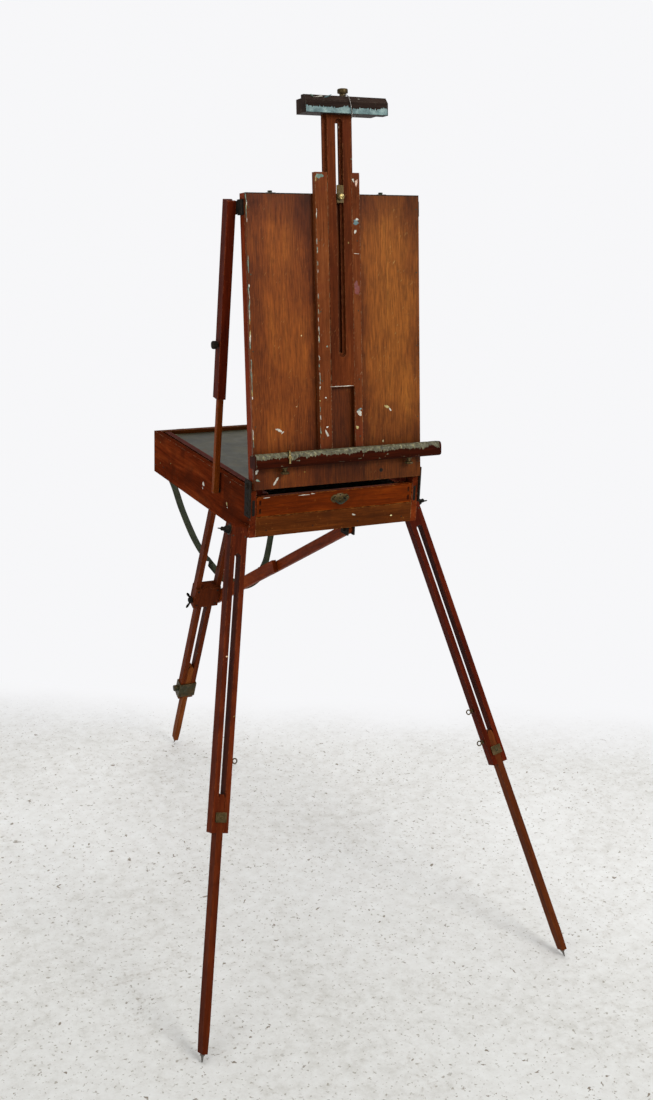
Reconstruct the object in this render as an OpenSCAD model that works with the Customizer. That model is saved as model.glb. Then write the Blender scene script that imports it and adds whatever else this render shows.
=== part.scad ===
// Folding wooden box easel standing on three telescopic legs.
// Millimetres, +Z up, floor at Z 0. X 0 is the middle of the box and Y 0 the middle of the stance.
// The drawer faces -Y (front), one leg runs to the back (+Y), and left is -X.

/* [Box] */
// outside width of the box
box_w = 370; // [350:1:400]
// front to back length of the box
box_d = 546; // [540:1:560]
// height of the box walls
box_h = 93.6; // [92:0.2:98]
// thickness of the side walls
wall = 13; // [12.6:0.2:14]
// height of the box bottom above the floor
floor_h = 880; // [870:1:890]

/* [Lid] */
// backward lean of the raised lid in degrees
lean = 7.6; // [6:0.2:9]
// length of the lid
lid_l = 546; // [540:1:552]
// thickness of the lid
lid_t = 26.6; // [25:0.2:28]
// width of the lid
lid_w = 364; // [355:1:364]

/* [Ledge and mast] */
// height of the ledge above the lid edge
ledge_u = 42; // [38:1:46]
// depth of the ledge
ledge_d = 28; // [24:1:32]
// front width of the mast
mast_w = 49; // [47:1:50]
// lower end of the mast along the lid
mast_low = 187; // [180:1:200]
// upper end of the mast
mast_top = 712; // [708:1:716]
// overall width of the mast head
head_w = 170; // [150:1:180]

/* [Legs] */
// width of a front leg
leg_w = 34; // [30:1:34]
// depth of a front leg
leg_t = 23; // [21:1:23]
// width of the slot in a front leg
slot_w = 13.4; // [13.2:0.2:14]
// thickness of the brace links
brace_t = 10; // [8:0.5:10]
// depth of the brace links
brace_h = 24; // [20:1:24]

/* [Drawer] */
// height of the drawer front
drawer_h = 38.6; // [36:0.2:39]
// thickness of the drawer front
drawer_t = 12.5; // [11:0.5:12.5]

/* [Hidden] */
$fn = 48;

// Box. Points named here lie in the box frame: origin at the front face, on the underside.
box_origin = [0, -282.7, floor_h];
box_half = box_w / 2;
inner_half = box_half - wall;
board = 14; // thickness of the front rail and the back
lid_pin = [0, 7.1, 102.1];
bolt_r = 4;
box_bore = bolt_r + 0.2;
leg_bore = bolt_r + 0.3;
pin_r = 3;

// Drawer
drawer_y = 0.4;
drawer_top = 79;
drawer_half = 158; // to the inner face of a drawer side
drawer_inner = drawer_half - 0.1;
drawer_back = 490;
carcass_y = drawer_y + drawer_t + 0.2;
pull_at = [8, 0, 63];
bail_pin = [0, -5, 2]; // from pull_at

// Lid and mast, in the lid frame
lid_half = lid_w / 2;
frame_w = 18;
frame_y = 6.1; // front of the frame, just behind the panel
mast_x = 4.5; // the mast runs this far right of the middle of the lid
guide_low = ledge_u + 28.4;
mast_slot_low = 251.5;
mast_slot_top = 672.5;
mast_slot_r = 7.5;
head_left = -72;
head_low = 686;
head_screw_at = [12.5, -6.6, 0]; // from the middle of the mast

// Front legs: both feet mirror one point, but the pivots sit at different depths
foot = [407, -344, -879.5];
function leg_pivot(hand) = [205.5, hand < 0 ? 12 : 62, 14];
function leg_length(hand) = norm(foot - leg_pivot(hand));
foot_tip = 16; // the wood stops this far short of the spike point

// Rear leg
rear_pivot = [0, 538, -15];
rear_back = 372;
rear_drop = 864.6;
rear_a = atan2(rear_back, rear_drop);
rear_len = norm([rear_back, rear_drop]);
rear_joint = 400; // brace joint, wing nut and slot top lie this far down the leg
yoke_low = -417;
middle_top = -355;
middle_low = -754;

// The brace links lie straight when open and overlap when the rear leg folds under the box
brace_pivot = [0, 40, -15];
brace_end = rear_pivot + rear_joint * [0, sin(rear_a), -cos(rear_a)];
brace_run = brace_end - brace_pivot;
brace_a = atan2(-brace_run.z, brace_run.y);
brace_open = norm(brace_run);
brace_folded = rear_pivot.y - rear_joint - brace_pivot.y;
upper_l = (brace_open + brace_folded) / 2;
lower_l = (brace_open - brace_folded) / 2;
brace_bore = pin_r + 0.2;

// Lid stay, from the box pivot to the lid bracket
stay_low = [0, 152, 56];
stay_high = [0, 99.5, 608];
stay_run = stay_high - stay_low;
stay_a = atan2(-stay_run.y, stay_run.z);
stay_x = 195;
channel_low = 192;

wood = [0.45, 0.2, 0.1];
pale = [0.6, 0.3, 0.14];
iron = [0.13, 0.13, 0.12];
bronze = [0.3, 0.26, 0.14];
steel = [0.6, 0.6, 0.6];

// ---- Shapes ----
// block between two corners
module block(from, to) translate(from) cube(to - from);
// cylinders along X and along Y
module rod_x(from, to, r) translate([from, 0, 0]) rotate([0, 90, 0]) cylinder(h = to - from, r = r);
module rod_y(from, to, r) translate([0, from, 0]) rotate([-90, 0, 0]) cylinder(h = to - from, r = r);
// [Y, Z] outline extruded along +X, and [X, Z] outline extruded along +Y
module extrude_x(length) rotate([90, 0, 90]) linear_extrude(length) children();
module extrude_y(length) rotate([90, 0, 0]) mirror([0, 0, 1]) linear_extrude(length) children();
// hand is -1 for left and 1 for right; parts are drawn on the right
module side(hand) mirror([hand < 0 ? 1 : 0, 0, 0]) children();
module both_sides() for (hand = [-1, 1]) side(hand) children();

// ---- Frames ----
module at_box() translate(box_origin) children();
// X across, Y from the front face to the back, Z up along the lid
module at_lid() translate(box_origin + [0, -12.6, 97.5]) rotate([-lean, 0, 0]) children();
// local -Z runs down the leg, local X points outward along the bolt
module at_leg(hand) {
    run = foot - leg_pivot(hand);
    splay = atan2(run.x, -run.z);
    rake = atan2(-run.y, norm([run.x, run.z]));
    side(hand) translate(box_origin + leg_pivot(hand)) rotate([-rake, -splay, 0]) children();
}
// local -Z runs down the rear leg
module at_rear() translate(box_origin + rear_pivot) rotate([rear_a, 0, 0]) children();
// local Y runs along the open brace from the box to the leg
module at_brace() at_box() translate(brace_pivot + [35, 0, 0]) rotate([-brace_a, 0, 0]) children();
// local Z runs up the left stay, local X points outward
module at_stay() side(-1) translate(box_origin + stay_low) rotate([stay_a, 0, 0]) children();

// ---- Box ----
module leg_bolt_bore(hand) at_leg(hand) rod_x(-45, 10, box_bore);
module box_side(hand) color(wood) difference() {
    at_box() side(hand) block([inner_half, 0, 0], [box_half, box_d, box_h]);
    leg_bolt_bore(hand);
    // blind hole for the stay pivot
    if (hand < 0) at_box() side(hand) translate(stay_low) rod_x(box_half - 9, box_half + 1, 3.1);
}
module box_side_left() box_side(-1);
module box_side_right() box_side(1);
module box_back() color(wood) at_box()
    block([-inner_half, box_d - board, 0], [inner_half, box_d, box_h]);
module box_front_rail() color(wood) at_box() block([-inner_half, 0, 0], [inner_half, board, 39.5]);
module box_bottom() color(pale) at_box()
    block([-inner_half, board, 3], [inner_half, box_d - board, 8]);
// drawer runners, and above them stepped strips beneath the palette edges
module inner_rails() color(pale) at_box() both_sides() {
    block([158, 15, 30], [inner_half, box_d - 15, 39.8]);
    translate([0, 16, 0]) extrude_y(box_d - 31)
        polygon([[140, 79.6], [140, 81.8], [152, 81.8], [152, 92.4], [165, 92.4], [165, 79.6]]);
}
// plates and pins that carry the lid, and the pivot of the left stay
module side_irons() color(iron) at_box() {
    both_sides() {
        difference() {
            block([box_half + 0.1, -5, 41], [box_half + 3.4, 19, 113]);
            translate(lid_pin) rod_x(box_half - 1, box_half + 5, 3);
        }
        translate(lid_pin) {
            rod_x(box_half - 12, box_half + 3.3, 2.9);
            rod_x(box_half + 3.4, box_half + 6, 5.5);
        }
    }
    side(-1) translate(stay_low) {
        rod_x(box_half - 8, 200.4, pin_r);
        rod_x(box_half + 0.1, 189.3, 4.5);
    }
}
module leg_wedges() color(wood) for (hand = [-1, 1]) difference() {
    at_box() side(hand) translate([box_half, leg_pivot(hand).y - 12, 0]) extrude_y(25)
        polygon([[0.1, 1], [5.7, 1], [0.5, 24], [0.1, 24]]);
    leg_bolt_bore(hand);
}
module leg_bolts() color(iron) for (hand = [-1, 1]) at_leg(hand) rod_x(-32, 33, bolt_r);
module rear_hinge_block() color(wood) at_box() both_sides() difference() {
    translate([34, rear_pivot.y, 0]) extrude_x(11)
        polygon([[-16, -0.2], [8, -0.2], [8, -18], [2, -29], [-10, -29], [-16, -18]]);
    translate(rear_pivot) rod_x(30, 50, box_bore);
}
module rear_hinge_pin() color(iron) at_box() translate(rear_pivot) {
    rod_x(-47, 47, bolt_r);
    both_sides() rod_x(45.2, 50, 7);
}
// two ears under a plate, with the pin of the upper brace link
module brace_bracket() color(iron) at_box() translate(brace_pivot) {
    plate_z = 12.6; // underside of the plate, above the pin
    for (x = [41.4, 55.4]) difference() {
        block([x, -14, -11], [x + 3.6, 14, plate_z]);
        rod_x(20, 60, 3.1);
    }
    block([32, -16, plate_z], [68, 16, plate_z + 2.2]);
    rod_x(38, 62, pin_r);
    rod_x(37, 41.2, 5);
    rod_x(59.2, 62, 5);
}

// Carry strap: [x, y, z] points its middle line passes through, in the box frame
strap_path = [
    [-146, 564, 6], [-132, 582, -28], [-112, 602, -66], [-85, 627, -126],
    [-39, 664, -213], [4, 690, -277], [55, 715, -336], [96, 727, -364],
    [130, 729, -370], [156, 722, -352], [168, 706, -316], [169, 690, -278],
    [166, 669, -230], [159, 622, -122], [152, 582, -32], [149, 564, 6]];
strap_steps = 46;
strap_across = [0, cos(22.4), sin(22.4)]; // direction of the strap's width
strap_half_w = 13;
strap_half_t = 1.4;
// Catmull-Rom curve from start to end, t from 0 to 1
function spline(before, start, end, after, t) = 0.5 * (2 * start + (end - before) * t
    + (2 * before - 5 * start + 4 * end - after) * t * t
    + (3 * start - before - 3 * end + after) * t * t * t);
function strap_point(k) =
    let (last = len(strap_path) - 1, along = k * last / strap_steps, i = min(last - 1, floor(along)))
    spline(strap_path[max(0, i - 1)], strap_path[i], strap_path[i + 1],
        strap_path[min(last, i + 2)], along - i);
function unit(v) = v / norm(v);
function strap_tangent(k) =
    unit(strap_point(min(strap_steps, k + 1)) - strap_point(max(0, k - 1)));
function strap_normal(k) = unit(cross(strap_tangent(k), strap_across));
module carry_strap() color([0.15, 0.19, 0.1]) at_box() {
    // four corners at each step
    points = [for (k = [0:strap_steps], corner = [[-1, -1], [1, -1], [1, 1], [-1, 1]])
        strap_point(k) + strap_half_w * corner.x * strap_across
            + strap_half_t * corner.y * strap_normal(k)];
    walls = [for (k = [0:strap_steps - 1], j = [0:3])
        let (a = 4 * k + j, b = 4 * k + (j + 1) % 4) each [[a, b, b + 4], [a, b + 4, a + 4]]];
    end = 4 * strap_steps;
    end_cap = [[end, end + 1, end + 2], [end, end + 2, end + 3]];
    polyhedron(points = points, faces = concat([[3, 2, 1], [3, 1, 0]], walls, end_cap));
}
module strap_anchors() color(iron) at_box() for (x = [-148, 149]) translate([x, box_d, 0]) {
    block([-20, 0.1, 8], [20, 2.6, 34]);
    block([-17, 2.6, 10], [17, 6, 20]);
}
module back_latches() color(bronze) at_box() for (x = [-123, 109]) translate([x, box_d, 0]) {
    block([-9, 0.1, 48], [9, 2, 93.4]);
    translate([0, 0, 62]) rod_y(2, 6, 5);
    block([-6, 2, 76], [6, 7, 90]);
}
module palette() color([0.5, 0.5, 0.4]) at_box() block([-150.6, 45, 82.1], [150.6, 530, 86]);

// ---- Drawer ----
module drawer_front() color(wood) at_box()
    block([-170.8, drawer_y, drawer_top - drawer_h], [170.8, drawer_y + drawer_t, drawer_top]);
module drawer_carcass() color(pale) at_box() {
    both_sides() block([drawer_half, carcass_y, 41], [drawer_half + 10, drawer_back + 10, 76]);
    block([-drawer_inner, drawer_back, 41], [drawer_inner, drawer_back + 10, 76]);
}
module drawer_bottom() color(pale) at_box()
    block([-drawer_inner, carcass_y, 41.5], [drawer_inner, drawer_back - 0.2, 45]);
// sheet metal liner with three cells from front to back
module drawer_tray() color(steel) at_box() difference() {
    sheet = 1.2;
    half = 157.4;
    low = 45.2;
    block([-half, 14, low], [half, 489, 73]);
    for (cell = [[15.2, 178], [179.4, 338], [339.4, 487.8]])
        block([sheet - half, cell[0], low + sheet], [half - sheet, cell[1], 74]);
}
module pull_plate() color(bronze) at_box() translate(pull_at) {
    translate([0, -1.4, 0]) extrude_y(1.7) polygon([
        [-20, 0], [-17, 6], [-9, 7], [-4, 10], [4, 10], [9, 7], [17, 6],
        [20, 0], [17, -6], [9, -7], [4, -10], [-4, -10], [-9, -7], [-17, -6]]);
    // two posts, each with a pin for an eye of the bail
    both_sides() {
        block([8, -6.8, 0], [11, -1.4, 4]);
        translate(bail_pin) rod_x(11, 16.6, 1.5);
    }
}
module pull_bail() color(bronze) at_box() translate(pull_at) difference() {
    union() {
        both_sides() {
            translate(bail_pin) rod_x(12.2, 15.8, 3.1);
            block([12.2, -6.4, -11.5], [15.8, -3.6, 2]);
        }
        block([-14, -6.4, -11.5], [14, -3.6, -8.5]);
    }
    translate(bail_pin) rod_x(-20, 20, 1.75);
}

// ---- Lid ----
module lid_panel() color(pale) at_lid() block([-lid_half, 0, 0], [lid_half, 6, lid_l]);
// [Y, Z] outline of a frame member with its lower back edge bevelled
function frame_outline(top) =
    [[frame_y, 0], [lid_t - 4.5, 0], [lid_t, 4.5], [lid_t, top], [frame_y, top]];
module lid_frame() color(wood) at_lid() {
    rail_half = lid_half - frame_w - 0.1;
    both_sides() difference() {
        translate([lid_half - frame_w, 0, 0]) extrude_x(frame_w) polygon(frame_outline(lid_l));
        // hole for the lid pin
        translate([0, 18.93, 7.16]) rod_x(150, 200, 3.3);
    }
    translate([-rail_half, 0, 0]) extrude_x(2 * rail_half) polygon(frame_outline(frame_w));
    block([-rail_half, frame_y, lid_l - frame_w], [rail_half, lid_t, lid_l]);
}
// two strips of L section that hold the mast flanges against the panel
module mast_guide() color(wood) at_lid() for (hand = [-1, 1]) {
    offset_x = hand * mast_x;
    lip_x = mast_w / 2 + 0.5 + offset_x;
    side(hand) translate([0, 0, guide_low]) linear_extrude(584 - guide_low)
        polygon([[lip_x, -12], [46.5, -12], [46.5, -0.1],
            [31 + offset_x, -0.1], [31 + offset_x, -6.9], [lip_x, -6.9]]);
}
module lid_catches() color(bronze) at_lid() for (x = [-124, 109]) translate([x, 0, lid_l]) {
    block([-9, 14, 0.1], [9, lid_t, 2]);
    translate([0, 20, 2]) cylinder(h = 3, r = 4);
}
// a plate on each edge; the left one has an ear reaching back to the stay
module stay_brackets() color(iron) at_lid() {
    both_sides() block([lid_half + 0.1, 8, 507], [lid_half + 5.6, 26, 535]);
    side(-1) block([lid_half + 3.3, 25.8, 509], [lid_half + 5.6, 52, 533]);
}
module ledge() color(wood) at_lid() difference() {
    translate([-190, 0, ledge_u]) extrude_x(405) polygon([
        [-0.2, 0], [4 - ledge_d, 0], [-ledge_d, 4], [-ledge_d, 27],
        [3 - ledge_d, 28], [7 - ledge_d, 28], [8 - ledge_d, 24.5], [-0.2, 24.5]]);
    // notch in the back of the right end
    translate([210, -10, ledge_u - 1]) cube([10, 12, 40]);
}
module ledge_hook() color(steel) at_lid() translate([-120, -ledge_d, ledge_u]) {
    block([-1.2, -1.6, 8], [1.2, -0.1, 32]);
    block([-1.2, -1.6, 29], [1.2, 8, 32]);
}
module ledge_screws() color(bronze) at_lid() for (x = [-124, 147]) translate([x, -14, ledge_u]) {
    translate([0, 0, -7]) cylinder(h = 6.9, r = 4);
    block([-9, -1.6, -13], [9, 1.6, -5]);
}

// ---- Mast ----
module mast() color(pale) at_lid() translate([mast_x, 0, 0]) difference() {
    half = mast_w / 2;
    flange = 30.5;
    translate([0, 0, mast_low]) linear_extrude(mast_top - mast_low) polygon([
        [-half, -12.8], [half, -12.8], [half, -6.4], [flange, -6.4],
        [flange, -0.5], [-flange, -0.5], [-flange, -6.4], [-half, -6.4]]);
    // the slot is narrower at the back, where a lip stands along its right side
    translate([0, -26.4, 0]) extrude_y(20) {
        translate([-mast_slot_r, mast_slot_low])
            square([2 * mast_slot_r, mast_slot_top - mast_slot_low]);
        for (z = [mast_slot_low, mast_slot_top]) translate([0, z]) circle(r = mast_slot_r);
    }
    block([-mast_slot_r, -7, mast_slot_low], [3, 1, mast_slot_top]);
    translate(head_screw_at + [0, 0, 700]) cylinder(h = 20, r = 3.3);
}
module mast_clamp() color(bronze) at_lid() translate([mast_x, 0, 0]) {
    block([-6.8, -12.6, 529], [2.3 - 0, -0.2, 545.5] - [0, 0, 0]);
    block([-6.8, -14.6, 529], [6.8, -12.6, 561]);
    translate([0, 0, 540]) rod_y(-20, -14.6, 6);
}
module head_front() color(wood) at_lid() translate([head_left, 0, head_low]) extrude_x(head_w)
    polygon([[-33, 0], [-13.2, 0], [-13.2, 32], [-24, 32], [-33, 22]]);
// fits round the mast flanges
module head_back() color(wood) at_lid() difference() {
    block([head_left, -13, head_low], [83, 7, 712]);
    block([mast_x - 31.2, -14, 680], [mast_x + 31.2, -0.2, 720]);
}
module head_screw() color(bronze) at_lid() translate(head_screw_at + [mast_x, 0, 0]) {
    translate([0, 0, 702]) cylinder(h = 23, r = 3);
    translate([0, 0, 719]) cylinder(h = 6, r = 6);
    translate([0, 0, 725]) cylinder(h = 9, r = 10);
}

// ---- Left lid stay ----
module stay_rod_left() color(iron) at_stay() difference() {
    translate([stay_x, 0, 0]) union() {
        block([-5.5, -5.5, 0], [5.5, 5.5, 300]);
        rod_x(-5.5, 5.5, 5.5);
    }
    rod_x(stay_x - 10, 203.6, 3.25);
}
// channel open towards the box, sliding on the rod
module stay_channel_left() color(iron) at_stay() translate([0, 0, channel_low])
    linear_extrude(norm(stay_run) + 15 - channel_low) polygon([
        [188, -12], [205, -12], [205, 12], [188, 12],
        [188, 5.9], [201, 5.9], [201, -5.9], [188, -5.9]]);
module stay_knob_left() color(iron) at_stay() translate([0, 0, 298.3]) {
    rod_x(205.1, 208, 5);
    rod_x(208, 217, 8);
}

// ---- Leg parts ----
// lowest bar of a leg, with bevelled top corners and a tapered lower end
module foot_bar(half, tip_half, top, length, depth) {
    low = foot_tip - length;
    translate([0, -depth / 2, 0]) extrude_y(depth) polygon([
        [-half, top - 6], [-4, top], [4, top], [half, top - 6],
        [half, low + 40], [tip_half, low], [-tip_half, low], [-half, low + 40]]);
}
// spike and collar at the end of a leg of this length
module spike(length) color(steel) translate([0, 0, -length]) {
    cylinder(h = 12, r1 = 1, r2 = 3);
    translate([0, 0, 12]) cylinder(h = 3.9, r = 4.6);
}
// nut with two wings, bore along X, base at 0
module wing(bore) color(bronze) difference() {
    union() {
        rod_x(0, 9, 8);
        for (turn = [18, 162]) rotate([turn, 0, 0]) block([3, -1.5, 4], [16, 1.5, 19]);
    }
    rod_x(-2, 30, bore);
}

// ---- Front legs ----
module leg_outer(hand) color(wood) at_leg(hand) difference() {
    slot_top = -45 - slot_w / 2;
    union() {
        block([-leg_w / 2, -leg_t / 2, -570], [leg_w / 2, leg_t / 2, 2]);
        translate([0, 0, 2]) rod_x(-leg_w / 2, leg_w / 2, leg_t / 2);
    }
    rod_x(-40, 40, leg_bore);
    translate([-slot_w / 2, -20, -571]) cube([slot_w, 40, 571 + slot_top]);
    translate([0, 0, slot_top]) rod_y(-20, 20, slot_w / 2);
}
module leg_left_outer() leg_outer(-1);
module leg_right_outer() leg_outer(1);
module leg_inner(hand) color(pale) at_leg(hand)
    foot_bar(half = 6.4, tip_half = 5.2, top = -499, length = leg_length(hand), depth = 22);
module leg_left_inner() leg_inner(-1);
module leg_right_inner() leg_inner(1);
module leg_left_spike() at_leg(-1) spike(leg_length(-1));
module leg_right_spike() at_leg(1) spike(leg_length(1));
// plates on the front and back of the outer leg
module leg_clamp(hand) color(bronze) at_leg(hand)
    for (y = [-leg_t / 2 - 2.4, leg_t / 2 + 0.2]) block([-11, y, -550], [11, y + 2.2, -532]);
module leg_left_clamp() leg_clamp(-1);
module leg_right_clamp() leg_clamp(1);
module leg_wing(hand) at_leg(hand) translate([leg_w / 2 + 0.8, 0, 0]) wing(leg_bore);
module leg_left_wing() leg_wing(-1);
module leg_right_wing() leg_wing(1);

// ---- Rear leg ----
// two cheeks joined by plates at the lower end
module rear_yoke() color(wood) at_rear() {
    both_sides() difference() {
        union() {
            block([20.6, -10, yoke_low], [33, 10, 0]);
            rod_x(20.6, 33, 10);
        }
        rod_x(10, 40, leg_bore);
    }
    for (y = [-14, 10.1]) block([-33, y, yoke_low], [33, y + 3.9, middle_top]);
}
module rear_middle() color(pale) at_rear() difference() {
    slot_r = 7.3;
    block([-20.2, -9.7, middle_low], [20.2, 9.7, middle_top]);
    block([-slot_r, -20, middle_low - 1], [slot_r, 20, -rear_joint]);
    translate([0, 0, -rear_joint]) rod_y(-20, 20, slot_r);
}
module rear_foot() color(pale) at_rear()
    foot_bar(half = 7, tip_half = 5.5, top = -640, length = rear_len, depth = 18.8);
module rear_spike() at_rear() spike(rear_len);
module rear_clamp() color(bronze) at_rear() {
    difference() {
        block([-23, -12.4, -746], [23, 12.4, -700]);
        block([-20.4, -9.9, -750], [20.4, 9.9, -690]);
    }
    translate([0, 0, -720]) rod_x(-34, -23, 8);
}
// this nut has only a hairline bore
module rear_wing() at_rear() translate([-33.4, 0, -rear_joint]) side(-1) wing(0.01);

// ---- Brace ----
module brace_upper() color(wood) at_brace() difference() {
    near = brace_t + 0.3;
    far = 2 * brace_t - 0.1;
    union() {
        block([near, 0, -11], [far, upper_l, 11]);
        for (y = [0, upper_l]) translate([0, y, 0]) rod_x(near, far, 11);
    }
    for (y = [0, upper_l]) translate([0, y, 0]) rod_x(-5, 30, brace_bore);
}
// lower link with the pin of the middle joint and a spacer at the leg joint
module brace_lower() color(wood) at_brace() translate([0, upper_l, 0]) {
    half = brace_h / 2 + 2;
    pin_end = 2 * brace_t + 0.4;
    difference() {
        block([0, -53, -half], [brace_t - 0.2, lower_l + 18, half]);
        rod_x(-5, 30, brace_bore);
    }
    rod_x(0, pin_end, pin_r);
    rod_x(pin_end, pin_end + 2, 6);
    translate([0, lower_l, 0]) rod_x(brace_t - 0.3, brace_t + 0.1, 6);
}

box_side_left();
box_side_right();
box_back();
box_front_rail();
box_bottom();
inner_rails();
side_irons();
leg_wedges();
leg_bolts();
rear_hinge_block();
rear_hinge_pin();
brace_bracket();
carry_strap();
strap_anchors();
back_latches();
palette();
drawer_front();
drawer_carcass();
drawer_bottom();
drawer_tray();
pull_plate();
pull_bail();
lid_panel();
lid_frame();
mast_guide();
lid_catches();
stay_brackets();
ledge();
ledge_hook();
ledge_screws();
mast();
mast_clamp();
head_front();
head_back();
head_screw();
stay_rod_left();
stay_channel_left();
stay_knob_left();
leg_left_outer();
leg_right_outer();
leg_left_inner();
leg_right_inner();
leg_left_spike();
leg_right_spike();
leg_left_clamp();
leg_right_clamp();
leg_left_wing();
leg_right_wing();
rear_yoke();
rear_middle();
rear_foot();
rear_spike();
rear_clamp();
rear_wing();
brace_upper();
brace_lower();
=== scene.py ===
"""Looks of a painter's box easel: a box with a drawer on two front legs and a braced rear leg,
with a raised lid, a mast and a carrying strap.

The scene is in metres: x to the right, y to the back, floor at z 0. Pieces are drawn in
millimetres. Box coordinates run x from the middle, y back from the box's front face and z up
from its bottom. The lid, legs and stays have their own axes, with z up along the piece.
"""
import math
import random

import bmesh
import bpy
from mathutils import Matrix, Vector, noise

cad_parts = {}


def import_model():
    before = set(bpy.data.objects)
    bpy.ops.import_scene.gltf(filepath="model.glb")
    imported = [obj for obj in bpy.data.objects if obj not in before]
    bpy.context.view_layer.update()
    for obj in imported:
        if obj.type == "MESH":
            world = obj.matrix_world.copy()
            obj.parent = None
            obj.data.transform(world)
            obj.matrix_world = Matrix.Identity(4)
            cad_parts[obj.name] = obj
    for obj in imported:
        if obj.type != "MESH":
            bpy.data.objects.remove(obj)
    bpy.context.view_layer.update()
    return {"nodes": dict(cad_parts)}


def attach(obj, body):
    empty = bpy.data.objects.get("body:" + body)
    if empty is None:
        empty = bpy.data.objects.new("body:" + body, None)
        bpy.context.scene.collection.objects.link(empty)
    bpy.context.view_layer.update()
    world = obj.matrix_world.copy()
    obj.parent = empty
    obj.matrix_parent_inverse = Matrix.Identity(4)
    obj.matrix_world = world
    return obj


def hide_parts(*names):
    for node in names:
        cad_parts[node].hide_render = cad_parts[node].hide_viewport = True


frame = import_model()

# ---------------------------------------------------------------- placement
BOX_FRONT_Y = -282.7
BOX_BOTTOM_Z = 880.0
BOX_SIDE_X = 185.0
SIDES = ((-1, "left"), (1, "right"))
TO_METRES = Matrix.Scale(0.001, 4)
MIRROR = Matrix.Scale(-1, 4, (1, 0, 0))


def scene_point(x, y, z):
    """Box coordinates in millimetres to the scene in metres."""
    return Vector((x, y + BOX_FRONT_Y, z + BOX_BOTTOM_Z)) / 1000.0


def turn(degrees, axis):
    return Matrix.Rotation(math.radians(degrees), 4, axis)


def shift(x, y, z):
    return Matrix.Translation((x, y, z))


def placed(origin, *turns):
    """Matrix of a piece whose origin is given in box coordinates."""
    place = Matrix.Translation(scene_point(*origin))
    for rotation in turns:
        place = place @ rotation
    return place @ TO_METRES


def mirrored(place, side):
    return MIRROR @ place if side < 0 else place


# Turns that point a primitive's local z along x, against x, to the back and to the front
TO_X, TO_MINUS_X = turn(90, "Y"), turn(-90, "Y")
TO_BACK, TO_FRONT = turn(-90, "X"), turn(90, "X")

BOX = placed((0, 0, 0))
DRAWER = BOX @ shift(0, 0.4, 0)
LID = placed((0, -12.6, 97.5), turn(-7.6, "X"))
GUIDE_FACE_Y = -12  # front of the mast guide, in lid axes

FRONT_FOOT = (407, -344, -879.5)
LEG_HINGE_X, LEG_HINGE_Z = 205.5, 14
LEG_HINGE_Y = {-1: 12, 1: 62}


def leg_place(side):
    """Front leg: origin at its pivot, x away from the box."""
    hinge = (LEG_HINGE_X, LEG_HINGE_Y[side], LEG_HINGE_Z)
    out = FRONT_FOOT[0] - hinge[0]
    forward = hinge[1] - FRONT_FOOT[1]
    down = hinge[2] - FRONT_FOOT[2]
    splay = math.degrees(math.atan2(out, down))
    rake = math.degrees(math.atan2(forward, math.hypot(out, down)))
    return mirrored(placed(hinge, turn(-splay, "Y"), turn(-rake, "X")), side)


HINGE_Z = -15  # rear leg and brace hinge below the box bottom
REAR_HINGE_Y = 538
REAR_JOINT = 400  # distance down the rear leg to the brace joint
REAR_RAKE = math.atan2(372, 864.6)
REAR = placed((0, REAR_HINGE_Y, HINGE_Z), turn(math.degrees(REAR_RAKE), "X"))

STAY_BOTTOM, STAY_TOP = (152, 56), (99.5, 608)  # (y, z) in box coordinates
STAY_LEAN = math.atan2(STAY_BOTTOM[0] - STAY_TOP[0], STAY_TOP[1] - STAY_BOTTOM[1])
STAY = placed((0, *STAY_BOTTOM), turn(math.degrees(STAY_LEAN), "X"))

BRACE_HINGE_X, BRACE_HINGE_Y = 35, 40
BRACE_OVERLAP = 98
brace_run = REAR_HINGE_Y + REAR_JOINT * math.sin(REAR_RAKE) - BRACE_HINGE_Y
brace_drop = REAR_JOINT * math.cos(REAR_RAKE)
BRACE_LENGTH = math.hypot(brace_run, brace_drop)
BRACE_UPPER = (BRACE_LENGTH + BRACE_OVERLAP) / 2
BRACE = placed((BRACE_HINGE_X, BRACE_HINGE_Y, HINGE_Z),
               turn(-math.degrees(math.atan2(brace_drop, brace_run)), "X"))


def piece_axis(place, axis=(0, 0, 1)):
    return tuple((place.to_3x3() @ Vector(axis)).normalized())


# Grain directions
GRAIN_X, GRAIN_Y = (1, 0, 0), (0, 1, 0)
LID_UP = piece_axis(LID)
REAR_UP = piece_axis(REAR)
STAY_UP = piece_axis(STAY)
BRACE_ALONG = piece_axis(BRACE, (0, 1, 0))

# ---------------------------------------------------------------- shader building
MATERIALS = {}


def srgb(*channels):
    """Linear colour from 0-255 channels."""
    out = []
    for value in channels:
        value = value / 255.0
        out.append(value / 12.92 if value <= 0.04045 else ((value + 0.055) / 1.055) ** 2.4)
    return (*out, 1.0)


def grey(value):
    return (value, value, value, 1)


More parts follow.
